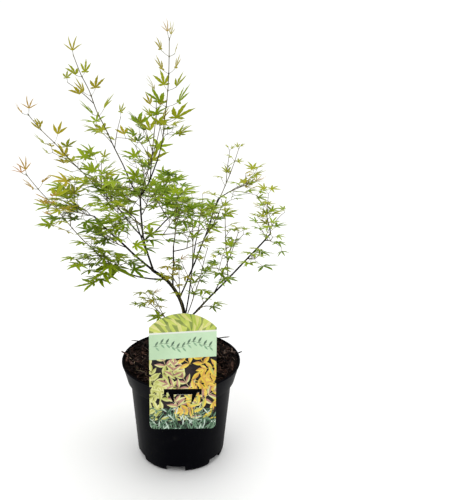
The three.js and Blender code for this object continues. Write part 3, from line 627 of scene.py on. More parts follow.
def printed_leaf(bm, x, y, turn, length, width, order, coats):
    """A pointed oval leaf of flat ink, one tone each side of its rib, just above those printed before it."""
    made = bmesh.ops.create_grid(bm, x_segments=8, y_segments=2, size=0.5)["verts"]
    for face in {f for v in made for f in v.link_faces}:
        face.material_index = coats[0] if face.calc_center_median().y > 0 else coats[1]
    for vert in made:
        vert.co.y *= (1 - (2 * abs(vert.co.x)) ** 1.7) * (1 - 0.5 * vert.co.x)
    height = LABEL_THICKNESS + 0.04 + 0.003 * (order % 50)
    size = Matrix.Diagonal((length, width, 1, 1))
    place = Matrix.Translation((x, y, height)) @ Matrix.Rotation(turn, 4, "Z") @ size
    bmesh.ops.transform(bm, verts=made, matrix=place)


def within_band(bm, low, high):
    """Keeps the ink between two levels of the card, which slope as the band does."""
    if low is not None:
        split_along(bm, (0, low), (BAND_SLOPE, -1), clear=True)
    if high is not None:
        split_along(bm, (0, high), (-BAND_SLOPE, 1), clear=True)


# share of the stalk where a pair of leaflets sits, their length as a share of the stalk, width and angle
SPRIG_PAIRS = [(0.10, 0.62, 6.2, 62), (0.42, 0.56, 5.8, 50), (0.74, 0.44, 4.8, 40)]
SPRIG_TURNS = (64, 142, -28, 100, 12, 205)
# which inks the two halves of a blade on the dome take, by turns
DOME_COATS = ((0, 1), (2, 0), (0, 2), (1, 0))


def printed_sprig(bm, x, y, turn, length, order, coats):
    """A sprig of oval leaflets in three pairs up a stalk, with one at its tip."""
    ahead = np.array(around(1, turn))
    foot = np.array([x, y])
    printed_leaf(bm, *(foot + 0.5 * length * ahead), turn, length, 1.0, order, coats[::-1])
    for k, (share, reach, width, angle) in enumerate(SPRIG_PAIRS):
        for side in (-1, 1):
            out = turn + side * math.radians(angle)
            middle = foot + share * length * ahead + 0.5 * reach * length * np.array(around(1, out))
            printed_leaf(bm, *middle, out, reach * length, width, order + 1 + k, coats[::side])
    printed_leaf(bm, *(foot + 1.15 * length * ahead), turn, 0.5 * length, 6.0, order + 4, coats)


prints = []
draw = np.random.default_rng(12)
bm = bmesh.new()
for row in range(4):
    for column in range(8):
        x = -56 + 16 * column + 8 * (row % 2) + draw.normal(0, 2)
        y = 154 + 10 * row + draw.normal(0, 1.5)
        turn = math.radians(150 - 17 * column + 8 * row) + draw.normal(0, 0.15)
        printed_leaf(bm, x, y, turn, 38, 10.5, 8 * row + column, DOME_COATS[(column + 2 * row) % 4])
within_band(bm, BAND_TOP, None)
prints.append(bm)

bm = bmesh.new()
order = 0
for row in range(6):
    for column in range(6):
        x = -54 + 20 * column + 10 * (row % 2) + draw.normal(0, 2.5)
        y = 16 + 17 * row + draw.normal(0, 2.5)
        turn = math.radians(SPRIG_TURNS[(row * 5 + column * 2) % 6]) + draw.normal(0, 0.25)
        warmth = x / 50 + draw.normal(0, 0.3)
        if x > 36 and y < 32:
            continue
        coats = (3, 4) if warmth < -0.25 else (3, 7) if warmth < 0.1 else (5, 4) if warmth < 0.4 else (5, 6)
        printed_sprig(bm, x, y, turn, 28 + draw.normal(0, 2.5), order, coats)
        order += 5
within_band(bm, SPRIGS_FOOT, BAND_FOOT)
prints.append(bm)

bm = bmesh.new()
for i in range(SAGE_BLADES):
    x = -54 + 108 * draw.random()
    y = SAGE_TOP * draw.random() ** 1.2 - 2
    turn = math.radians(90) + draw.normal(0, 0.8)
    coat = 8 + int(draw.choice(3, p=[0.38, 0.20, 0.42]))
    printed_leaf(bm, x, y, turn, 12 + 7 * draw.random(), 1.9, i, (coat, coat))
prints.append(bm)

bm = bmesh.new()
for i in range(11):
    x = -40 + 8 * i
    y = (BAND_FOOT + BAND_TOP) / 2 + BAND_SLOPE * x + 4.4 * math.sin(i * 1.1)
    printed_leaf(bm, x, y, math.radians(8), 9.0, 1.0, i, (11, 11))
    printed_leaf(bm, x + 1.2, y + 4.2, math.radians(58), 9.4, 3.0, i, (11, 11))
    printed_leaf(bm, x + 2.2, y - 4.2, math.radians(-48), 8.6, 2.7, i, (12, 12))
prints.append(bm)

inks = [
    ink("ink_lime_blade", (0.42, 0.52, 0.08), (0.60, 0.66, 0.15)),
    ink("ink_olive_blade", (0.20, 0.27, 0.06), (0.32, 0.37, 0.10)),
    ink("ink_pale_blade", (0.62, 0.62, 0.19), (0.74, 0.72, 0.30)),
    ink("ink_pale_lime", (0.56, 0.58, 0.20), (0.74, 0.74, 0.34)),
    ink("ink_yellow_green", (0.40, 0.43, 0.10), (0.58, 0.58, 0.17)),
    ink("ink_gold", (0.70, 0.51, 0.05), (0.84, 0.66, 0.11)),
    ink("ink_amber", (0.62, 0.33, 0.06), (0.74, 0.46, 0.12)),
    ink("ink_dusky_pink", (0.34, 0.15, 0.12), (0.54, 0.30, 0.23)),
    ink("ink_sage", (0.13, 0.24, 0.15), (0.22, 0.34, 0.22)),
    ink("ink_pale_sage", (0.50, 0.62, 0.52), (0.64, 0.74, 0.64)),
    ink("ink_deep_green", (0.035, 0.085, 0.045), (0.075, 0.14, 0.080)),
    ink("ink_grey_green", (0.10, 0.17, 0.11), (0.15, 0.23, 0.15)),
    ink("ink_soft_green", (0.22, 0.38, 0.23), (0.30, 0.47, 0.30)),
]
for part, bm in zip(("head", "leaves", "foot", "vine"), prints):
    die_cut(bm)
    hung_on_rim(bm)
    printed = piece_from(bm, f"label_print_{part}")
    for coat in inks:
        printed.data.materials.append(coat)
    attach(printed, "root")
    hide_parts("label")


# Trunk and boughs: living wood. The trunk leans left over the pot and forks, and each bough is one tapering
# limb with leaf scars ringed round it. The bark is smooth when young and finely ridged near the foot.
SOIL_TOP = 170.0
UP = np.array([0.0, 0.0, 1.0])
ROOT_FLARE = 0.55
BOUGH_SLIMNESS = 0.85
STOUT_FROM = 2.5
LIMB_STEP = 22
LIMB_KINK = 0.8
TRUNK_KINK = 0.3
COLLAR_FLARE = 0.30
ROOT_DEPTH = 5
BARK_RING = 1.1
SCAR_SPACING = 21.0
SCAR_SWELLING = 0.13
RIDGE_HEIGHT = 0.03
RIDGE_SHARE = 0.055
KNOB_SHARE = 0.09
# name, the limb it leaves and how far along, where it ends (reach, bearing, height), how far its middle
# hangs, and its radius at foot and tip
LIMBS = [
    ("trunk", None, 0, (5, 0, 236), -1, 5.4, 3.6),
    ("main_stem", "trunk", 0.93, (45, 180, 323), -15, 3.0, 2.4),
    ("leader_foot", "main_stem", 0.98, (61, 180, 442), 6, 1.9, 1.5),
    ("leader", "leader_foot", 0.99, (35, 179, 497), 2, 1.35, 1.1),
    ("upper_left_bough", "leader_foot", 0.97, (88, 170, 486), 2, 1.3, 1.05),
    ("left_bough", "main_stem", 0.97, (130, -167, 420), 2, 2.1, 1.3),
    ("mid_left_bough", "leader_foot", 0.45, (105, 163, 418), 1, 1.3, 1.1),
    ("low_left_bough", "main_stem", 0.78, (112, -158, 344), 4, 1.5, 1.15),
    ("centre_bough", "main_stem", 0.6, (51, -103, 382), 5, 1.6, 1.2),
    ("back_bough", "leader_foot", 0.42, (96, 94, 392), 4, 1.4, 1.1),
    ("back_left_bough", "leader_foot", 0.16, (116, 130, 376), 4, 1.3, 1.1),
    ("right_middle_bough", "main_stem", 0.4, (72, 38, 424), 3, 1.6, 1.15),
    ("right_bough", "trunk", 0.93, (138, -19, 400), 1, 1.9, 1.25),
    ("back_right_bough", "trunk", 0.97, (66, 70, 344), 3, 1.5, 1.1),
]


def unit(way):
    return way / np.linalg.norm(way)


def spot(reach, bearing, height):
    return np.array([*around(reach, math.radians(bearing)), height])


def seeded(seed):
    """A small seeded generator, so that the plant grows the same way every time."""
    state = (seed * 7919 + 12345) % 2 ** 32

    def roll():
        nonlocal state
        state = (state * 1664525 + 1013904223) % 2 ** 32
        return state / 2 ** 32
    return roll


def path_of(foot, tip, belly, steps, kink, roll):
    """A bent line from foot to tip, with kinked joints, whose middle lies belly below the straight line."""
    chord = unit(tip - foot)
    lift = UP - chord * chord[2]
    if np.linalg.norm(lift) > 0.02:
        lift = unit(lift)
    middle = foot + (tip - foot) * 0.5 - 2 * belly * lift
    path = []
    for i in range(steps + 1):
        t = i / steps
        point = (1 - t) ** 2 * foot + 2 * (1 - t) * t * middle + t * t * tip
        if 0 < i < steps:
            point = point + (np.array([roll(), roll(), roll()]) - 0.5) * 2 * kink
        path.append(point)
    return np.array(path)


def grown_path(foot, end, belly, step, kink, roll):
    """The bent line of a limb or stem whose end is given by reach, bearing and height."""
    tip = spot(*end)
    steps = max(3, math.floor(np.linalg.norm(tip - foot) / step + 0.5))
    return path_of(foot, tip, belly, steps, kink, roll)


def joint_at(path, share):
    at = min(max(share, 0), 1) * (len(path) - 1)
    i = min(int(at), len(path) - 2)
    return i, at - i


def point_along(path, share):
    i, part = joint_at(path, share)
    return path[i] + (path[i + 1] - path[i]) * part


def direction_along(path, share):
    i, _ = joint_at(path, share)
    return unit(path[i + 1] - path[i])


def grown_point(path, share):
    """A point on the smooth limb that runs through a path's joints."""
    i, t = joint_at(path, share)
    a, b = path[i], path[i + 1]
    before = path[i - 1] if i > 0 else 2 * a - b
    after = path[i + 2] if i + 2 < len(path) else 2 * b - a
    start = 0.5 * (b - before)
    end = 0.5 * (after - a)
    return ((2 * t ** 3 - 3 * t ** 2 + 1) * a + (t ** 3 - 2 * t ** 2 + t) * start
            + (3 * t ** 2 - 2 * t ** 3) * b + (t ** 3 - t ** 2) * end)


def length_of(path):
    return float(np.linalg.norm(np.diff(path, axis=0), axis=1).sum())


limbs = {}
for i, (name, parent, at, end, belly, foot_radius, tip_radius) in enumerate(LIMBS):
    foot = point_along(limbs[parent]["path"], at) if parent else np.array([0, 0, SOIL_TOP + RIM_GAP])
    path = grown_path(foot, end, belly, LIMB_STEP, LIMB_KINK if parent else TRUNK_KINK, seeded(i + 11))
    if not parent:
        path[1][:2] = path[0][:2]
    limbs[name] = {"path": path, "foot": foot_radius, "tip": tip_radius, "parent": parent}


def rods_mesh(name, rods, side_steps):
    """Round tapering rods as one mesh: each is a line of points and its radius at each, in millimetres."""
    wires = bpy.data.curves.new(name, "CURVE")
    wires.dimensions = "3D"
    wires.bevel_depth = 1.0
    wires.bevel_resolution = side_steps
    wires.use_fill_caps = True
    wires.twist_mode = "MINIMUM"
    for points, radii in rods:
        line = wires.splines.new("POLY")
        line.points.add(len(points) - 1)
        line.points.foreach_set("co", np.c_[np.array(points) * MM, np.ones(len(points))].ravel())
        line.points.foreach_set("radius", np.array(radii) * MM)
    holder = new_piece(name, wires)
    bpy.context.view_layer.update()
    mesh = bpy.data.meshes.new_from_object(holder.evaluated_get(bpy.context.evaluated_depsgraph_get()))
    bpy.data.objects.remove(holder)
    bpy.data.curves.remove(wires)
    mesh.name = name
    return mesh


def bark_finish(name, dark, middle, light):
    material = finish_of(name, middle, 0.6, 0.12)
    coloured(material, [(0.32, dark), (0.54, middle), (0.76, light)], 210.0, 9.0, (1.0, 1.0, 0.4))
    roughened(material, 0.48, 0.78, 120.0, 5.0)
    embossed(material, 0.5 * MM, 0.8, 800.0, 6.0, (1.0, 1.0, 0.3))
    return material


def barked(name, mesh, bark):
    """A smooth piece in one bark."""
    mesh.shade_smooth()
    mesh.materials.clear()
    mesh.materials.append(bark)
    return new_piece(name, mesh)


old_bark = bark_finish("old_bark", (0.0015, 0.0015, 0.0008), (0.005, 0.0052, 0.0022), (0.04, 0.038, 0.018))
limb_bark = bark_finish("limb_bark", (0.0015, 0.0013, 0.0009), (0.005, 0.0045, 0.0025), (0.034, 0.028, 0.016))
for seed, (name, limb) in enumerate(limbs.items()):
    path, parent, stout = limb["path"], limb["parent"], limb["foot"] > STOUT_FROM
    rings = int(length_of(path) / BARK_RING)
    points = [grown_point(path, i / rings) for i in range(rings + 1)]
    if not parent:
        points = [points[0] - UP * ROOT_DEPTH, points[0] - UP * ROOT_DEPTH / 2] + points
    walked = np.r_[0, np.cumsum(np.linalg.norm(np.diff(points, axis=0), axis=1))]
    radii = limb["foot"] + (limb["tip"] - limb["foot"]) * walked / walked[-1]
    radii *= 1 if stout else BOUGH_SLIMNESS
    radii *= 1 + (COLLAR_FLARE if parent else ROOT_FLARE) * np.exp(-walked / (4.0 if parent else 7.0))
    scar = SCAR_SPACING + 1.7 * (seed % 4)
    radii *= 1 + SCAR_SWELLING * np.exp(-(((walked + seed * 3) % scar - scar / 2) / 1.1) ** 2)
    mesh = rods_mesh(f"{name}_bark", [(points, radii)], 6 if stout else 4)
    bm = bmesh.new()
    bm.from_mesh(mesh)
    bmesh.ops.remove_doubles(bm, verts=bm.verts, dist=1e-7)
    bmesh.ops.recalc_face_normals(bm, faces=bm.faces)
    run = Vector(unit(path[-1] - path[0]))
    for vert in bm.verts:
        place = vert.co / MM
        drawn = place - run * place.dot(run) * 0.8 + Vector((0, 0, 20.0 * seed))
        ridges = noise.noise(drawn * 1.35) + 0.5 * noise.noise(drawn * 3.1)
        knobs = noise.noise(place * 0.16 + Vector((seed, 0, 0)))
        girth = RIDGE_SHARE * limb["foot"] + RIDGE_HEIGHT
        vert.co += vert.normal * (girth * ridges + KNOB_SHARE * limb["tip"] * knobs) * MM
    bm.to_mesh(mesh)
    bm.free()
    bark = barked(f"{name}_bark", mesh, old_bark if name in ("trunk", "main_stem") else limb_bark)
    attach(bark, "root")
    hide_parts(name)


# How the shoots grow: thin young wood from each bough's tip, with side twigs and pairs of leaves set
# crosswise. Each shoot keeps to its own space, and finer twigs with smaller leaves fill in the dense crown.
STEM_STEP = 30
STEM_KINK = 1.1
VIGOUR_FROM = 400.0
VIGOUR_OVER = 150.0
VIGOUR_LEAST, VIGOUR_MOST = 0.3, 1.5
CELL_MARGIN = 2.0
LIMB_MARGIN = 2.0
BOX_MARGIN = 2
FARTHEST_LEAF = 95.0
MULCH_ROOM = 6
LABEL_ROOM_FRONT = -70
LABEL_ROOM_HALF = 60
LABEL_ROOM_TOP = 300
# side twigs: up to where on the stem, the turn from one twig or try to the next, how flat they fan out, how
# far they lean along the stem and upwards, how long they get, and how far they arch and kink; a range is
# given as its least and how much more it may be
TWIGS_END = 0.72
TWIG_TURN = 2.4
TWIG_RETRY_TURN = 1.1
TWIG_FANNING = 0.7
TWIG_FORWARD = 0.8
TWIG_RISE = 0.2
TWIG_STEM_SHARE = 0.6
TWIG_LONGEST = 64
TWIG_SHARE = (0.6, 0.4)
TWIG_ARCH = 2
TWIG_KINK = 0.5
# leaves: pairs turn a quarter round the stem each time, and the last one leans forwards
LEAF_TRIES = 6
LEAF_SPACING = 0.62
FINE_SPACING = 0.34
LAST_PAIR = 0.98
FIRST_TURN = 0.6
TURN_SPREAD = 0.6
RETRY_SPREAD = 0.5
LEAF_FORWARD = 0.4
LAST_FORWARD = 1.1
YOUNG_SHRINK = 0.5
YOUNG_RISE = 0.9
TWIG_PAIRS = 2
TWIG_LEAF_SHARE = 0.88
TWIG_LEAVES_FROM = 0.5
TWIG_AGE = 0.25
STALK_SHARE = (0.35, 0.4)
LOBE_SHARE = (0.85, 0.3)
LEAF_DROOP = 0.4
LEAF_LEVEL = 0.08
LEAF_LEAN = 0.5
LEAF_SWAY = 0.8
STALK_RISE = 0.15
BLADE_HEART = 0.4
BLADE_CURVE = 0.16
# finer twigs: tries for each, where on the stem, how long, and where and how their leaves sit
FINE_TRIES = 3
FINE_ALONG = (0.12, 0.8)
FINE_LENGTH = (12, 30)
FINE_FORWARD = 0.7
FINE_KINK = 0.4
FINE_LEAVES_AT = (0.55, 0.98, 0.98)
FINE_LEAF_TRIES = 4
FINE_LEAF_TURN = 2.1
FINE_LEAF_SPREAD = 2.4
FINE_LOBE_SHARE = (0.5, 0.3)
FINE_STALK_SHARE = (0.3, 0.3)
FINE_RISE = 0.5
FINE_AGE = 0.05
# region, name, the limb it leaves and how far along, where it ends (reach, bearing, height), how far its
# middle hangs, how far up the leaves begin, pairs, side twigs, length of a lobe, finer twigs, and tint at its
# foot and at its tip
SHOOTS = [
    ("middle", "leader_shoot", "leader", 1, (17, 180, 672), 6, 0.05, 8, 1, 36, 2, 2.0, 4.6),
    ("middle", "crown_shoot", "leader_foot", 1, (32, 156, 552), 2, 0.2, 4, 3, 36, 4, 1.0, 2.4),
    ("middle", "back_crown_shoot", "leader", 0.5, (71, 122, 584), 8, 0.2, 6, 1, 32, 2, 2.2, 4.8),
    ("left", "upper_left_shoot", "upper_left_bough", 1, (160, 166, 642), 2, 0.1, 6, 2, 33, 1, 2.2, 4.6),
    ("left", "mid_left_shoot", "mid_left_bough", 1, (252, 159, 544), 3, 0.1, 7, 2, 33, 2, 1.7, 4.8),
    ("left", "mid_left_inner_shoot", "mid_left_bough", 0.5, (128, 178, 456), 2, 0.3, 3, 3, 37, 9, 1.0, 2.0),
    ("left", "left_shoot", "left_bough", 1, (172, -163, 438), 0, 0.08, 4, 4, 41, 12, 1.4, 3.0),
    ("left", "left_inner_shoot", "left_bough", 0.45, (132, -158, 406), 3, 0.2, 4, 3, 37, 10, 0.8, 1.8),
    ("left", "low_left_shoot", "low_left_bough", 1, (226, -158, 500), 2, 0.45, 5, 2, 32, 3, 3.2, 4.8),
    ("left", "low_left_front_shoot", "low_left_bough", 0.86, (146, -152, 388), 2, 0.1, 5, 3, 43, 15,
     2.0, 2.4),
    ("middle", "centre_shoot", "centre_bough", 1, (110, -93, 462), 3, 0.3, 4, 2, 36, 7, 0.6, 2.2),
    ("middle", "centre_low_shoot", "centre_bough", 0.9, (80, -62, 402), 3, 0.3, 4, 1, 25, 1, 1.2, 3.2),
    ("left", "centre_left_shoot", "leader_foot", 0.62, (134, -124, 458), 4, 0.42, 5, 3, 39, 7, 0.6, 2.0),
    ("middle", "centre_inner_shoot", "leader_foot", 0.75, (80, -124, 470), 4, 0.3, 4, 3, 37, 10, 0.6, 1.8),
    ("middle", "centre_right_shoot", "leader_foot", 0.52, (48, -6, 394), 4, 0.25, 4, 2, 35, 5, 0.5, 1.6),
    ("middle", "back_shoot", "back_bough", 1, (146, 100, 390), 3, 0.1, 5, 4, 37, 8, 1.0, 3.4),
    ("middle", "back_inner_shoot", "back_bough", 0.7, (96, 124, 456), 3, 0.2, 4, 3, 37, 7, 0.8, 2.4),
    ("middle", "back_left_shoot", "back_left_bough", 1, (184, 127, 398), 4, 0.15, 5, 3, 38, 7, 1.2, 4.2),
    ("right", "right_middle_shoot", "right_middle_bough", 1, (142, 35, 440), -2, 0.1, 5, 2, 26, 4, 1.8, 4.8),
    ("right", "right_inner_shoot", "right_middle_bough", 0.62, (62, -8, 434), 3, 0.25, 4, 2, 34, 9, 0.8, 2.2),
    ("right", "right_upper_shoot", "right_middle_bough", 0.9, (158, 54, 484), 5, 0.2, 5, 1, 21, 0, 2.4, 3.8),
    ("right", "right_shoot", "right_bough", 1, (122, -8, 430), -3, 0.08, 5, 1, 24, 4, 1.6, 3.6),
    ("right", "right_tip_shoot", "right_bough", 0.93, (148, -28, 404), 3, 0.3, 3, 1, 24, 3, 1.4, 2.6),
    ("right", "right_low_shoot", "right_bough", 0.74, (136, -34, 380), 4, 0.55, 2, 1, 32, 2, 1.2, 2.2),
    ("right", "right_thin_shoot", "right_bough", 0.52, (66, 6, 424), 3, 0.15, 4, 1, 22, 2, 1.4, 3.0),
    ("right", "front_right_shoot", "right_bough", 0.36, (124, -50, 422), 3, 0.35, 3, 2, 25, 2, 1.2, 2.8),
    ("right", "back_right_shoot", "back_right_bough", 1, (126, 74, 400), 4, 0.2, 4, 3, 31, 3, 1.2, 4.0),
    ("right", "back_low_shoot", "back_right_bough", 0.7, (104, 80, 396), 4, 0.35, 4, 2, 29, 2, 1.0, 2.6),
    ("right", "low_right_shoot", "trunk", 0.97, (42, -18, 366), 2, 0.3, 5, 2, 26, 5, 1.6, 3.0),
    ("middle", "low_front_shoot", "trunk", 0.86, (52, -94, 358), 8, 0.42, 4, 2, 24, 2, 2.0, 4.8),
    ("left", "low_left_foot_shoot", "trunk", 0.62, (64, -132, 304), 5, 0.4, 4, 1, 25, 3, 1.8, 4.2),
    ("right", "low_right_foot_shoot", "right_bough", 0.1, (60, -50, 296), 3, 0.55, 2, 1, 35, 3, 1.0, 1.6),
]
# A blade's outline as the angle from the middle lobe, in degrees, and the share of its length at each tip
LOBE_TIPS = [(-100, 0.6), (-48, 0.92), (0, 1.0), (48, 0.92), (100, 0.6)]

shoots = []
for i, row in enumerate(SHOOTS):
    _, name, parent, at, end, belly, first, pairs, twigs, lobe, fine, low, high = row
    roll = seeded(i + 101)
    foot = point_along(limbs[parent]["path"], at)
    path = grown_path(foot, end, belly, STEM_STEP, STEM_KINK, roll)
    vigour = min(max((end[2] - VIGOUR_FROM) / VIGOUR_OVER, VIGOUR_LEAST), VIGOUR_MOST)
    shoots.append({"name": name, "first": first, "pairs": pairs, "twigs": twigs, "lobe": lobe, "fine": fine,
                   "vigour": vigour, "tints": (low, high), "roll": roll, "paths": [path], "fine_paths": [],
                   "shares": [1.0]})


def lines_of(paths):
    starts = np.concatenate([path[:-1] for path in paths])
    return starts, np.concatenate([path[1:] for path in paths]) - starts


def away_from(points, lines):
    """Distance of each point from each straight piece of some paths."""
    starts, runs = lines
    along = ((points[:, None] - starts) * runs).sum(2) / (runs * runs).sum(1)
    nearest = starts + np.clip(along, 0, 1)[..., None] * runs
    return np.sqrt(((points[:, None] - nearest) ** 2).sum(2))


limb_lines = lines_of([limb["path"] for limb in limbs.values()])
limb_room = np.concatenate(
    [[limb["foot"] + LIMB_MARGIN] * (len(limb["path"]) - 1) for limb in limbs.values()])
shoot_lines = {}


def survey_shoots():
    shoot_lines["lines"] = lines_of([path for shoot in shoots for path in shoot["paths"]])
    shoot_lines["owner"] = np.concatenate(
        [[i] * (len(path) - 1) for i, shoot in enumerate(shoots) for path in shoot["paths"]])


def within_box(points):
    """True if the points lie inside the whole plant's box."""
    low, high = np.array(cad_box) / MM
    points = np.array(points)
    return bool((points > low + BOX_MARGIN).all() and (points < high - BOX_MARGIN).all())


def clear_of_wood(points):
    """True if the points are clear of the limbs, the mulch and the label."""
    points = np.array(points)
    x, y, z = points.T
    by_label = (y < LABEL_ROOM_FRONT) & (abs(x) < LABEL_ROOM_HALF) & (z < LABEL_ROOM_TOP)
    if (z < SOIL_TOP + MULCH_ROOM).any() or by_label.any():
        return False
    return not (away_from(points, limb_lines) < limb_room).any()


def keeps_to_space(points, index):
    """True if each point is clear, and nearer to its own shoot than to any other."""
    points = np.array(points)
    if not clear_of_wood(points):
        return False
    away = away_from(points, shoot_lines["lines"])
    mine = shoot_lines["owner"] == index
    own = away[:, mine].min(1)
    return bool((own <= FARTHEST_LEAF).all() and (away[:, ~mine].min(1) >= own + CELL_MARGIN).all())


def rolled(roll, least, more):
    return least + more * roll()


def square_to(along, turn, fanning=1.0):
    """A direction square to a stem, at a turn round it that starts level."""
    level = np.cross(along, UP)
    if np.linalg.norm(level) < 0.2:
        level = np.array([1.0, 0.0, 0.0]) - along * along[0]
    level = unit(level)
    return level * math.cos(turn) + np.cross(level, along) * fanning * math.sin(turn)


def swung(way, axis, angle):
    return (way * math.cos(angle) + np.cross(axis, way) * math.sin(angle)
            + axis * np.dot(axis, way) * (1 - math.cos(angle)))


def grow_twigs(index):
    shoot = shoots[index]
    roll, stem = shoot["roll"], shoot["paths"][0]
    for i in range(shoot["twigs"]):
        share = shoot["first"] + ((TWIGS_END - shoot["first"]) * (i + 0.5 * roll())) / shoot["twigs"]
        along = direction_along(stem, share)
        foot = point_along(stem, share)
        for attempt in range(LEAF_TRIES):
            turn = i * TWIG_TURN + attempt * TWIG_RETRY_TURN + roll()
            out = square_to(along, turn, TWIG_FANNING)
            heading = unit(out + along * TWIG_FORWARD + UP * TWIG_RISE)
            longest = min(length_of(stem) * TWIG_STEM_SHARE, TWIG_LONGEST)
            tip = foot + heading * (longest * rolled(roll, *TWIG_SHARE))
            twig = path_of(foot, tip, -TWIG_ARCH, 2, TWIG_KINK, roll)
            if keeps_to_space([point_along(twig, 0.5), tip], index):
                shoot["paths"].append(twig)
                shoot["shares"].append(share)
                survey_shoots()
                break


def leaf_of(root, outward, stalk, size, raised, roll):
    """A leaf on its stalk: its blade is nearly level and droops outwards, or rises where it is young."""
    droop = LEAF_DROOP * roll() * roll() - LEAF_LEVEL - raised
    lean = (roll() - 0.5) * LEAF_LEAN
    sway = (roll() - 0.5) * LEAF_SWAY
    base = root + outward * stalk + UP * stalk * STALK_RISE
    flat = np.array([outward[0], outward[1], 0.0])
    if np.linalg.norm(flat) < 0.15:
        flat = np.array([*around(1, sway * 9), 0.0])
    flat = swung(unit(flat), UP, sway)
    along = flat * math.cos(droop) - UP * math.sin(droop)
    across = swung(np.cross(UP, flat), along, lean)
    return {"base": base, "along": along, "across": across, "face": np.cross(along, across), "size": size,
            "heart": base + along * size * BLADE_HEART}


def lobe_tip(leaf, angle, share):
    turn = math.radians(angle)
    r = leaf["size"] * share
    return (leaf["base"] + leaf["along"] * r * math.cos(turn) + leaf["across"] * r * math.sin(turn)
            + leaf["face"] * (-BLADE_CURVE * r * share))


def touched(leaf):
    return [leaf["base"]] + [lobe_tip(leaf, angle, share) for angle, share in LOBE_TIPS]


leaves = []
hearts = []


def stands_apart(leaf, spacing):
    """Leaves keep apart from each other, more so sideways than up and down."""
    if not leaves:
        return True
    others = np.array(hearts)
    away = others[:, :3] - leaf["heart"]
    gaps = np.sqrt(away[:, 0] ** 2 + away[:, 1] ** 2 + (2 * away[:, 2]) ** 2)
    return bool((gaps > spacing * (leaf["size"] + others[:, 3])).all())


def keep_leaf(leaf, index, share, path, at):
    leaf.update(shoot=index, share=share, stem=(path, at))
    leaves.append(leaf)
    hearts.append([*leaf["heart"], leaf["size"]])


def grow_leaves(index, path, pairs, size, first, stem_share):
    shoot = shoots[index]
    roll = shoot["roll"]
    for i in range(pairs):
        share = first + ((LAST_PAIR - first) * i) / max(pairs - 1, 1)
        along = direction_along(path, share)
        young = 1 - YOUNG_SHRINK * share * share
        raised = YOUNG_RISE * shoot["vigour"] * share * max(along[2], 0)
        for side in (0, math.pi):
            for attempt in range(LEAF_TRIES):
                spread = TURN_SPREAD + RETRY_SPREAD * attempt
                turn = side + (i % 2) * (math.pi / 2) + FIRST_TURN + (roll() - 0.5) * spread
                forward = LAST_FORWARD if i == pairs - 1 else LEAF_FORWARD
                outward = unit(square_to(along, turn) + along * forward)
                stalk = size * young * rolled(roll, *STALK_SHARE)
                blade = size * young * rolled(roll, *LOBE_SHARE)
                leaf = leaf_of(point_along(path, share), outward, stalk, blade, raised, roll)
                if stands_apart(leaf, LEAF_SPACING) and keeps_to_space(touched(leaf), index):
                    whole = share if stem_share is None else stem_share + TWIG_AGE * share
                    keep_leaf(leaf, index, whole, path, share)
                    break


def grow_finer(index):
    """Short twigs with two or three small leaves, from anywhere on the shoot's stem and side twigs."""
    shoot = shoots[index]
    roll = seeded(index + 301)
    for i in range(shoot["fine"] * FINE_TRIES):
        if len(shoot["fine_paths"]) >= shoot["fine"]:
            break
        which = int(roll() * len(shoot["paths"]))
        parent = shoot["paths"][which]
        share = rolled(roll, *FINE_ALONG)
        along = direction_along(parent, share)
        out = square_to(along, roll() * 2 * math.pi, TWIG_FANNING)
        heading = unit(out + along * FINE_FORWARD + UP * TWIG_RISE)
        foot = grown_point(parent, share)
        twig = path_of(foot, foot + heading * rolled(roll, *FINE_LENGTH), -1, 2, FINE_KINK, roll)
        if not keeps_to_space([point_along(twig, 0.6), twig[-1]], index) or not within_box([twig[-1]]):
            continue
        held = 0
        for k, at in enumerate(FINE_LEAVES_AT):
            along = direction_along(twig, at)
            for attempt in range(FINE_LEAF_TRIES):
                turn = FINE_LEAF_TURN * k + roll() * FINE_LEAF_SPREAD + attempt
                outward = unit(square_to(along, turn) + along * FINE_FORWARD)
                size = shoot["lobe"] * rolled(roll, *FINE_LOBE_SHARE)
                raised = FINE_RISE * shoot["vigour"] * max(along[2], 0) * roll()
                stalk = size * rolled(roll, *FINE_STALK_SHARE)
                leaf = leaf_of(grown_point(twig, at), outward, stalk, size, raised, roll)
                near = keeps_to_space([leaf["base"], leaf["heart"]], index)
                if near and stands_apart(leaf, FINE_SPACING) and clear_of_wood(touched(leaf)):
                    whole = share if which == 0 else shoot["shares"][which] + TWIG_AGE * share
                    keep_leaf(leaf, index, min(whole + FINE_AGE, 1), twig, at)
                    held += 1
                    break
        if held:
            shoot["fine_paths"].append(twig)


survey_shoots()
for index in range(len(shoots)):
    grow_twigs(index)
for index, shoot in enumerate(shoots):
    grow_leaves(index, shoot["paths"][0], shoot["pairs"], shoot["lobe"], shoot["first"], None)
    for twig, share in list(zip(shoot["paths"], shoot["shares"]))[1:]:
        grow_leaves(index, twig, TWIG_PAIRS, shoot["lobe"] * TWIG_LEAF_SHARE, TWIG_LEAVES_FROM, share)
for index in range(len(shoots)):
    grow_finer(index)
leaves = [leaf for leaf in leaves if within_box([leaf["base"], leaf["heart"]])]


# Young wood: the stems, side twigs and leaf stalks of the shoots, round and thin, swollen where a leaf pair
# sits and ended by a small bud. It is brown near the boughs and greener towards the tips.
STEM_RADIUS = (0.88, 0.5)
TWIG_RADIUS = (0.68, 0.42)
FINE_RADIUS = (0.5, 0.34)
STALK_RADIUS = (0.38, 0.3, 0.45)
BUD_LENGTH = 4.0
# how far ahead each ring of the bud lies, as a share of its length, and its girth
BUD_RINGS = ((0.25, 1.25), (0.5, 1.1), (0.8, 0.6), (1.0, 0.12))
JOINT_SWELLING = 0.42
BROWN_STEM_SHARE = 0.26
BROWN_TWIG_SHARE = 0.15


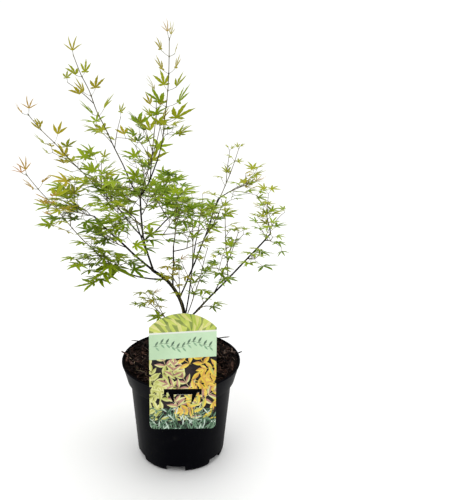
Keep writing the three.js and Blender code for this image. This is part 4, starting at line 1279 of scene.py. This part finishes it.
def stem_rod(path, foot_radius, tip_radius, joints):
    """Points and radii of one stem, with a swelling at each joint and a bud at its end."""
    whole = length_of(path)
    bare = 1 - BUD_LENGTH / whole
    rings = max(int(whole / 1.3), 4)
    points = [grown_point(path, bare * i / rings) for i in range(rings + 1)]
    walked = np.linspace(0, bare * whole, rings + 1)
    radii = foot_radius + (tip_radius - foot_radius) * walked / walked[-1]
    for joint in joints:
        radii = radii * (1 + JOINT_SWELLING * np.exp(-(walked - joint * whole) ** 2))
    way = unit(points[-1] - points[-2])
    for ahead, girth in BUD_RINGS:
        points.append(points[rings] + way * ahead * BUD_LENGTH)
        radii = np.append(radii, tip_radius * girth)
    return points, radii


young_bark = bark_finish("young_bark", (0.010, 0.008, 0.004), (0.034, 0.026, 0.011), (0.10, 0.080, 0.034))
green_bark = bark_finish("green_bark", (0.050, 0.042, 0.014), (0.12, 0.100, 0.030), (0.21, 0.17, 0.060))
stalk_skin = bark_finish("stalk_skin", (0.075, 0.085, 0.018), (0.16, 0.165, 0.045), (0.30, 0.21, 0.09))

REGIONS = {part: [row[1] for row in SHOOTS if row[0] == part] for part in ("left", "middle", "right")}


def joints_of(path):
    return [leaf["stem"][1] for leaf in leaves if leaf["stem"][0] is path]


for region, names in REGIONS.items():
    here = [i for i, shoot in enumerate(shoots) if shoot["name"] in names]
    brown, green, stalks = [], [], []
    for index in here:
        shoot = shoots[index]
        for which, path in enumerate(shoot["paths"]):
            points, radii = stem_rod(path, *(STEM_RADIUS if which == 0 else TWIG_RADIUS), joints_of(path))
            cut = int(len(points) * (BROWN_STEM_SHARE if which == 0 else BROWN_TWIG_SHARE))
            brown.append((points[:cut + 1], radii[:cut + 1]))
            green.append((points[cut:], radii[cut:]))
        for path in shoot["fine_paths"]:
            green.append(stem_rod(path, *FINE_RADIUS, joints_of(path)))
    for leaf in leaves:
        if leaf["shoot"] in here:
            root = grown_point(*leaf["stem"])
            middle = (root + leaf["base"]) / 2 - UP * 0.06 * np.linalg.norm(leaf["base"] - root)
            stalks.append(([root, middle, leaf["base"]], STALK_RADIUS))
    for kind, rods, bark, sides in (
        ("brown_wood", brown, young_bark, 1),
        ("green_wood", green, green_bark, 1),
        ("leaf_stalks", stalks, stalk_skin, 0),
    ):
        wood = barked(f"{region}_{kind}", rods_mesh(f"{region}_{kind}", rods, sides), bark)
        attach(wood, "root")
        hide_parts(*names)


# Leaves: thin hand-shaped blades, cut nearly to the stalk into narrow toothed lobes, each folded along its
# rib and edged with cream. They are green inside the crown, lime and gold outside, and bronze at the tips.
MARGIN_WIDTH = 0.009
LEAF_TINTS = [
    ("leaf_deep_green", (0.084, 0.150, 0.004)),
    ("leaf_mid_green", (0.144, 0.240, 0.004)),
    ("leaf_fresh_green", (0.225, 0.310, 0.005)),
    ("leaf_lime", (0.296, 0.325, 0.010)),
    ("leaf_gold", (0.358, 0.300, 0.013)),
    ("leaf_bronze", (0.400, 0.258, 0.036)),
    ("leaf_orange_pink", (0.470, 0.235, 0.085)),
]
MARGIN_CREAM = (0.50, 0.56, 0.14)
MARGIN_ROSE = (0.56, 0.38, 0.13)
YOUNG_LIFT = 0.7
GROWN_LIFT = 0.7
TIP_SHRINK = 0.12
NEW_LENGTH = 1.3
BROAD_FROM = 37.0
YOUNG_FROM = 0.45
NEW_FROM = 0.9
NEW_TINT = 4
ROSE_TINT = 5
SPRAY_SHIFT = 0.7
LEAF_SHIFT = 0.5
LIFT_FROM = 350
LIFT_OVER = 100
FITTINGS = 12
FITTING_SHRINK = 0.93
FITTING_FLATTEN = 0.9


def half_lobe(bm, side, turn, reach, width, fork_turn, fork_reach, teeth):
    """Half of one lobe, flat, from its rib to its edge: corners from the stalk out to the tip and back."""
    def corner(along, out):
        angle = math.radians(turn)
        x = along * math.cos(angle) - side * out * math.sin(angle)
        y = along * math.sin(angle) + side * out * math.cos(angle)
        return bm.verts.new((x, y, 0))

    fork = math.radians(fork_turn)
    stalk, rib, tip = corner(0, 0), corner(0.52 * reach, 0), corner(reach, 0)
    notch = bm.verts.new((*around(fork_reach, fork), 0))
    edge = [corner(along * reach, out * width) for along, out in teeth]
    if len(edge) == 1:
        loops = [[stalk, rib, tip, edge[0], notch]]
    else:
        loops = [[stalk, rib, edge[0], notch], [rib, tip, *edge[::-1]]]
    for loop in loops:
        bm.faces.new(loop if side > 0 else loop[::-1])


def leaf_shape(kind, lobes, width, depth, fold, droop, teeth):
    """A blade a unit long: its lobes joined at the stalk, its margin set in, then folded and bent down."""
    vary = np.random.default_rng(kind)
    lobes = [(turn + vary.uniform(-4, 4), reach * vary.uniform(0.92, 1.06)) for turn, reach in lobes]
    droops = droop * vary.uniform(0.5, 1.5, len(lobes))
    bends = vary.uniform(-0.2, 0.2, len(lobes))
    inner_forks = [((low + high) / 2, depth * math.sqrt(short * long))
                   for (low, short), (high, long) in zip(lobes, lobes[1:])]
    (first, first_reach), (last, last_reach) = lobes[0], lobes[-1]
    forks = [(first - 27, depth * first_reach)] + inner_forks + [(last + 27, depth * last_reach)]
    bm = bmesh.new()
    for (turn, reach), (low_fork, high_fork) in zip(lobes, zip(forks, forks[1:])):
        big = reach > 0.75
        for side, (fork_turn, fork_reach) in ((-1, low_fork), (1, high_fork)):
            half_lobe(bm, side, turn, reach, width * (1 if big else 0.8), fork_turn, fork_reach,
                      teeth if big else SMALL_LOBE)
    bmesh.ops.remove_doubles(bm, verts=bm.verts, dist=1e-4)
    rim = bmesh.ops.inset_region(bm, faces=bm.faces[:], thickness=MARGIN_WIDTH, use_boundary=True,
                                 use_even_offset=False)["faces"]
    for face in rim:
        face.material_index = 1
    for vert in bm.verts:
        x, y, _ = vert.co
        far = math.hypot(x, y)
        angle = math.degrees(math.atan2(y, x))
        lobe = min(range(len(lobes)), key=lambda i: abs(angle - lobes[i][0]))
        off_rib = abs(math.radians(angle - lobes[lobe][0])) * far
        swing = math.radians(angle) + bends[lobe] * far ** 2
        vert.co = (*around(far, swing), fold * off_rib - droops[lobe] * far ** 2)
    return piece_arrays(bm)


SLENDER_TEETH = ((0.44, 1.0), (0.54, 0.76), (0.76, 0.54))
BROAD_TEETH = ((0.46, 1.0), (0.54, 0.74), (0.69, 0.84), (0.77, 0.48))
SMALL_LOBE = ((0.55, 0.9),)
SPREAD = [(-138, 0.26), (-98, 0.6), (-46, 0.92), (0, 1.0), (46, 0.92), (98, 0.6), (138, 0.26)]
NARROW = [(-110, 0.30), (-76, 0.62), (-37, 0.92), (0, 1.0), (37, 0.92), (76, 0.62), (110, 0.30)]
OPEN = [(-84, 0.40), (-42, 0.90), (0, 1.0), (42, 0.90), (84, 0.40)]
TRIO = [(-40, 0.84), (0, 1.0), (40, 0.84)]
NEW = [(-54, 0.72), (-20, 0.95), (14, 1.0), (50, 0.70)]
broad_shapes = [
    leaf_shape(12, SPREAD, 0.142, 0.28, 0.26, 0.16, SLENDER_TEETH),
    leaf_shape(13, NARROW, 0.132, 0.26, 0.30, 0.20, BROAD_TEETH),
    leaf_shape(14, OPEN, 0.140, 0.24, 0.34, 0.10, BROAD_TEETH),
]
grown_shapes = [
    leaf_shape(1, SPREAD, 0.116, 0.24, 0.30, 0.20, SLENDER_TEETH),
    leaf_shape(2, SPREAD, 0.106, 0.22, 0.42, 0.10, BROAD_TEETH),
    leaf_shape(3, NARROW, 0.110, 0.24, 0.36, 0.06, SLENDER_TEETH),
    leaf_shape(4, NARROW, 0.100, 0.22, 0.36, 0.24, SLENDER_TEETH),
    leaf_shape(5, OPEN, 0.112, 0.20, 0.45, 0.14, SLENDER_TEETH),
    leaf_shape(6, OPEN, 0.100, 0.18, 0.40, 0.02, BROAD_TEETH),
]
young_shapes = [
    leaf_shape(7, OPEN, 0.112, 0.18, 0.40, 0.10, BROAD_TEETH),
    leaf_shape(8, TRIO, 0.135, 0.18, 0.50, 0.14, BROAD_TEETH),
    leaf_shape(9, TRIO, 0.112, 0.15, 0.60, 0.02, SLENDER_TEETH),
]
new_shapes = [
    leaf_shape(10, NEW, 0.055, 0.14, 0.60, -0.15, SLENDER_TEETH),
    leaf_shape(11, NEW, 0.045, 0.12, 0.50, 0.20, SLENDER_TEETH),
]


def leaf_finish(name, colour, roughness):
    """A plain colour, on a surface with a fine grain and a soft, broken gloss."""
    material = finish_of(name, colour, roughness, 0.08)
    roughened(material, roughness - 0.08, roughness + 0.1, 300.0, 3.0)
    embossed(material, 0.35 * MM, 0.6, 650.0, 4.0)
    return material


leaf_coats = [leaf_finish(name, colour, 0.52) for name, colour in LEAF_TINTS]
leaf_coats += [leaf_finish("leaf_margin_cream", MARGIN_CREAM, 0.55),
               leaf_finish("leaf_margin_rose", MARGIN_ROSE, 0.55)]
low_corner, high_corner = (np.array(corner) for corner in cad_box)
draw = np.random.default_rng(77)
sprays = {}
for region, names in REGIONS.items():
    copies = []
    for leaf in leaves:
        shoot = shoots[leaf["shoot"]]
        if shoot["name"] not in names:
            continue
        low_tint, high_tint = shoot["tints"]
        spray = (leaf["shoot"], round(leaf["share"] * 6))
        if spray not in sprays:
            sprays[spray] = draw.uniform(-SPRAY_SHIFT, SPRAY_SHIFT)
        tint = low_tint + (high_tint - low_tint) * min(leaf["share"], 1) ** 2
        tint = tint + sprays[spray] + draw.uniform(-LEAF_SHIFT, LEAF_SHIFT)
        tint = int(min(max(round(tint), 0), len(LEAF_TINTS) - 1))
        is_young = leaf["share"] * shoot["vigour"] > YOUNG_FROM
        is_new = leaf["share"] > NEW_FROM and tint >= NEW_TINT
        grown = broad_shapes if leaf["size"] > BROAD_FROM else grown_shapes
        shapes = new_shapes if is_new else young_shapes if is_young else grown
        corners, faces, coats = shapes[int(draw.integers(len(shapes)))]
        sag = 0.5 + 0.7 * draw.random() ** 2
        lift = YOUNG_LIFT
        if not is_young:
            lift = GROWN_LIFT * draw.random() * min(max((leaf["base"][2] - LIFT_FROM) / LIFT_OVER, 0), 1)
        along = unit(leaf["along"] + UP * lift)
        across = unit(leaf["across"] - along * np.dot(leaf["across"], along))
        axes = np.array([along, across, np.cross(along, across)])
        size = leaf["size"] * (NEW_LENGTH if is_new else 1 - TIP_SHRINK * shoot["vigour"] * leaf["share"])
        for attempt in range(FITTINGS):
            places = (leaf["base"] + (corners * (size, size, size * sag)) @ axes) * MM
            fits = (places > low_corner).all() and (places < high_corner).all()
            if fits:
                break
            size *= FITTING_SHRINK
            sag *= FITTING_FLATTEN
        if not fits:
            continue
        margin = len(LEAF_TINTS) + (1 if tint >= ROSE_TINT else 0)
        copies.append((places, faces, [margin if coat else tint for coat in coats]))
    foliage = joined(f"{region}_leaves", copies, leaf_coats)
    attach(foliage, "root")
    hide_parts(*names)
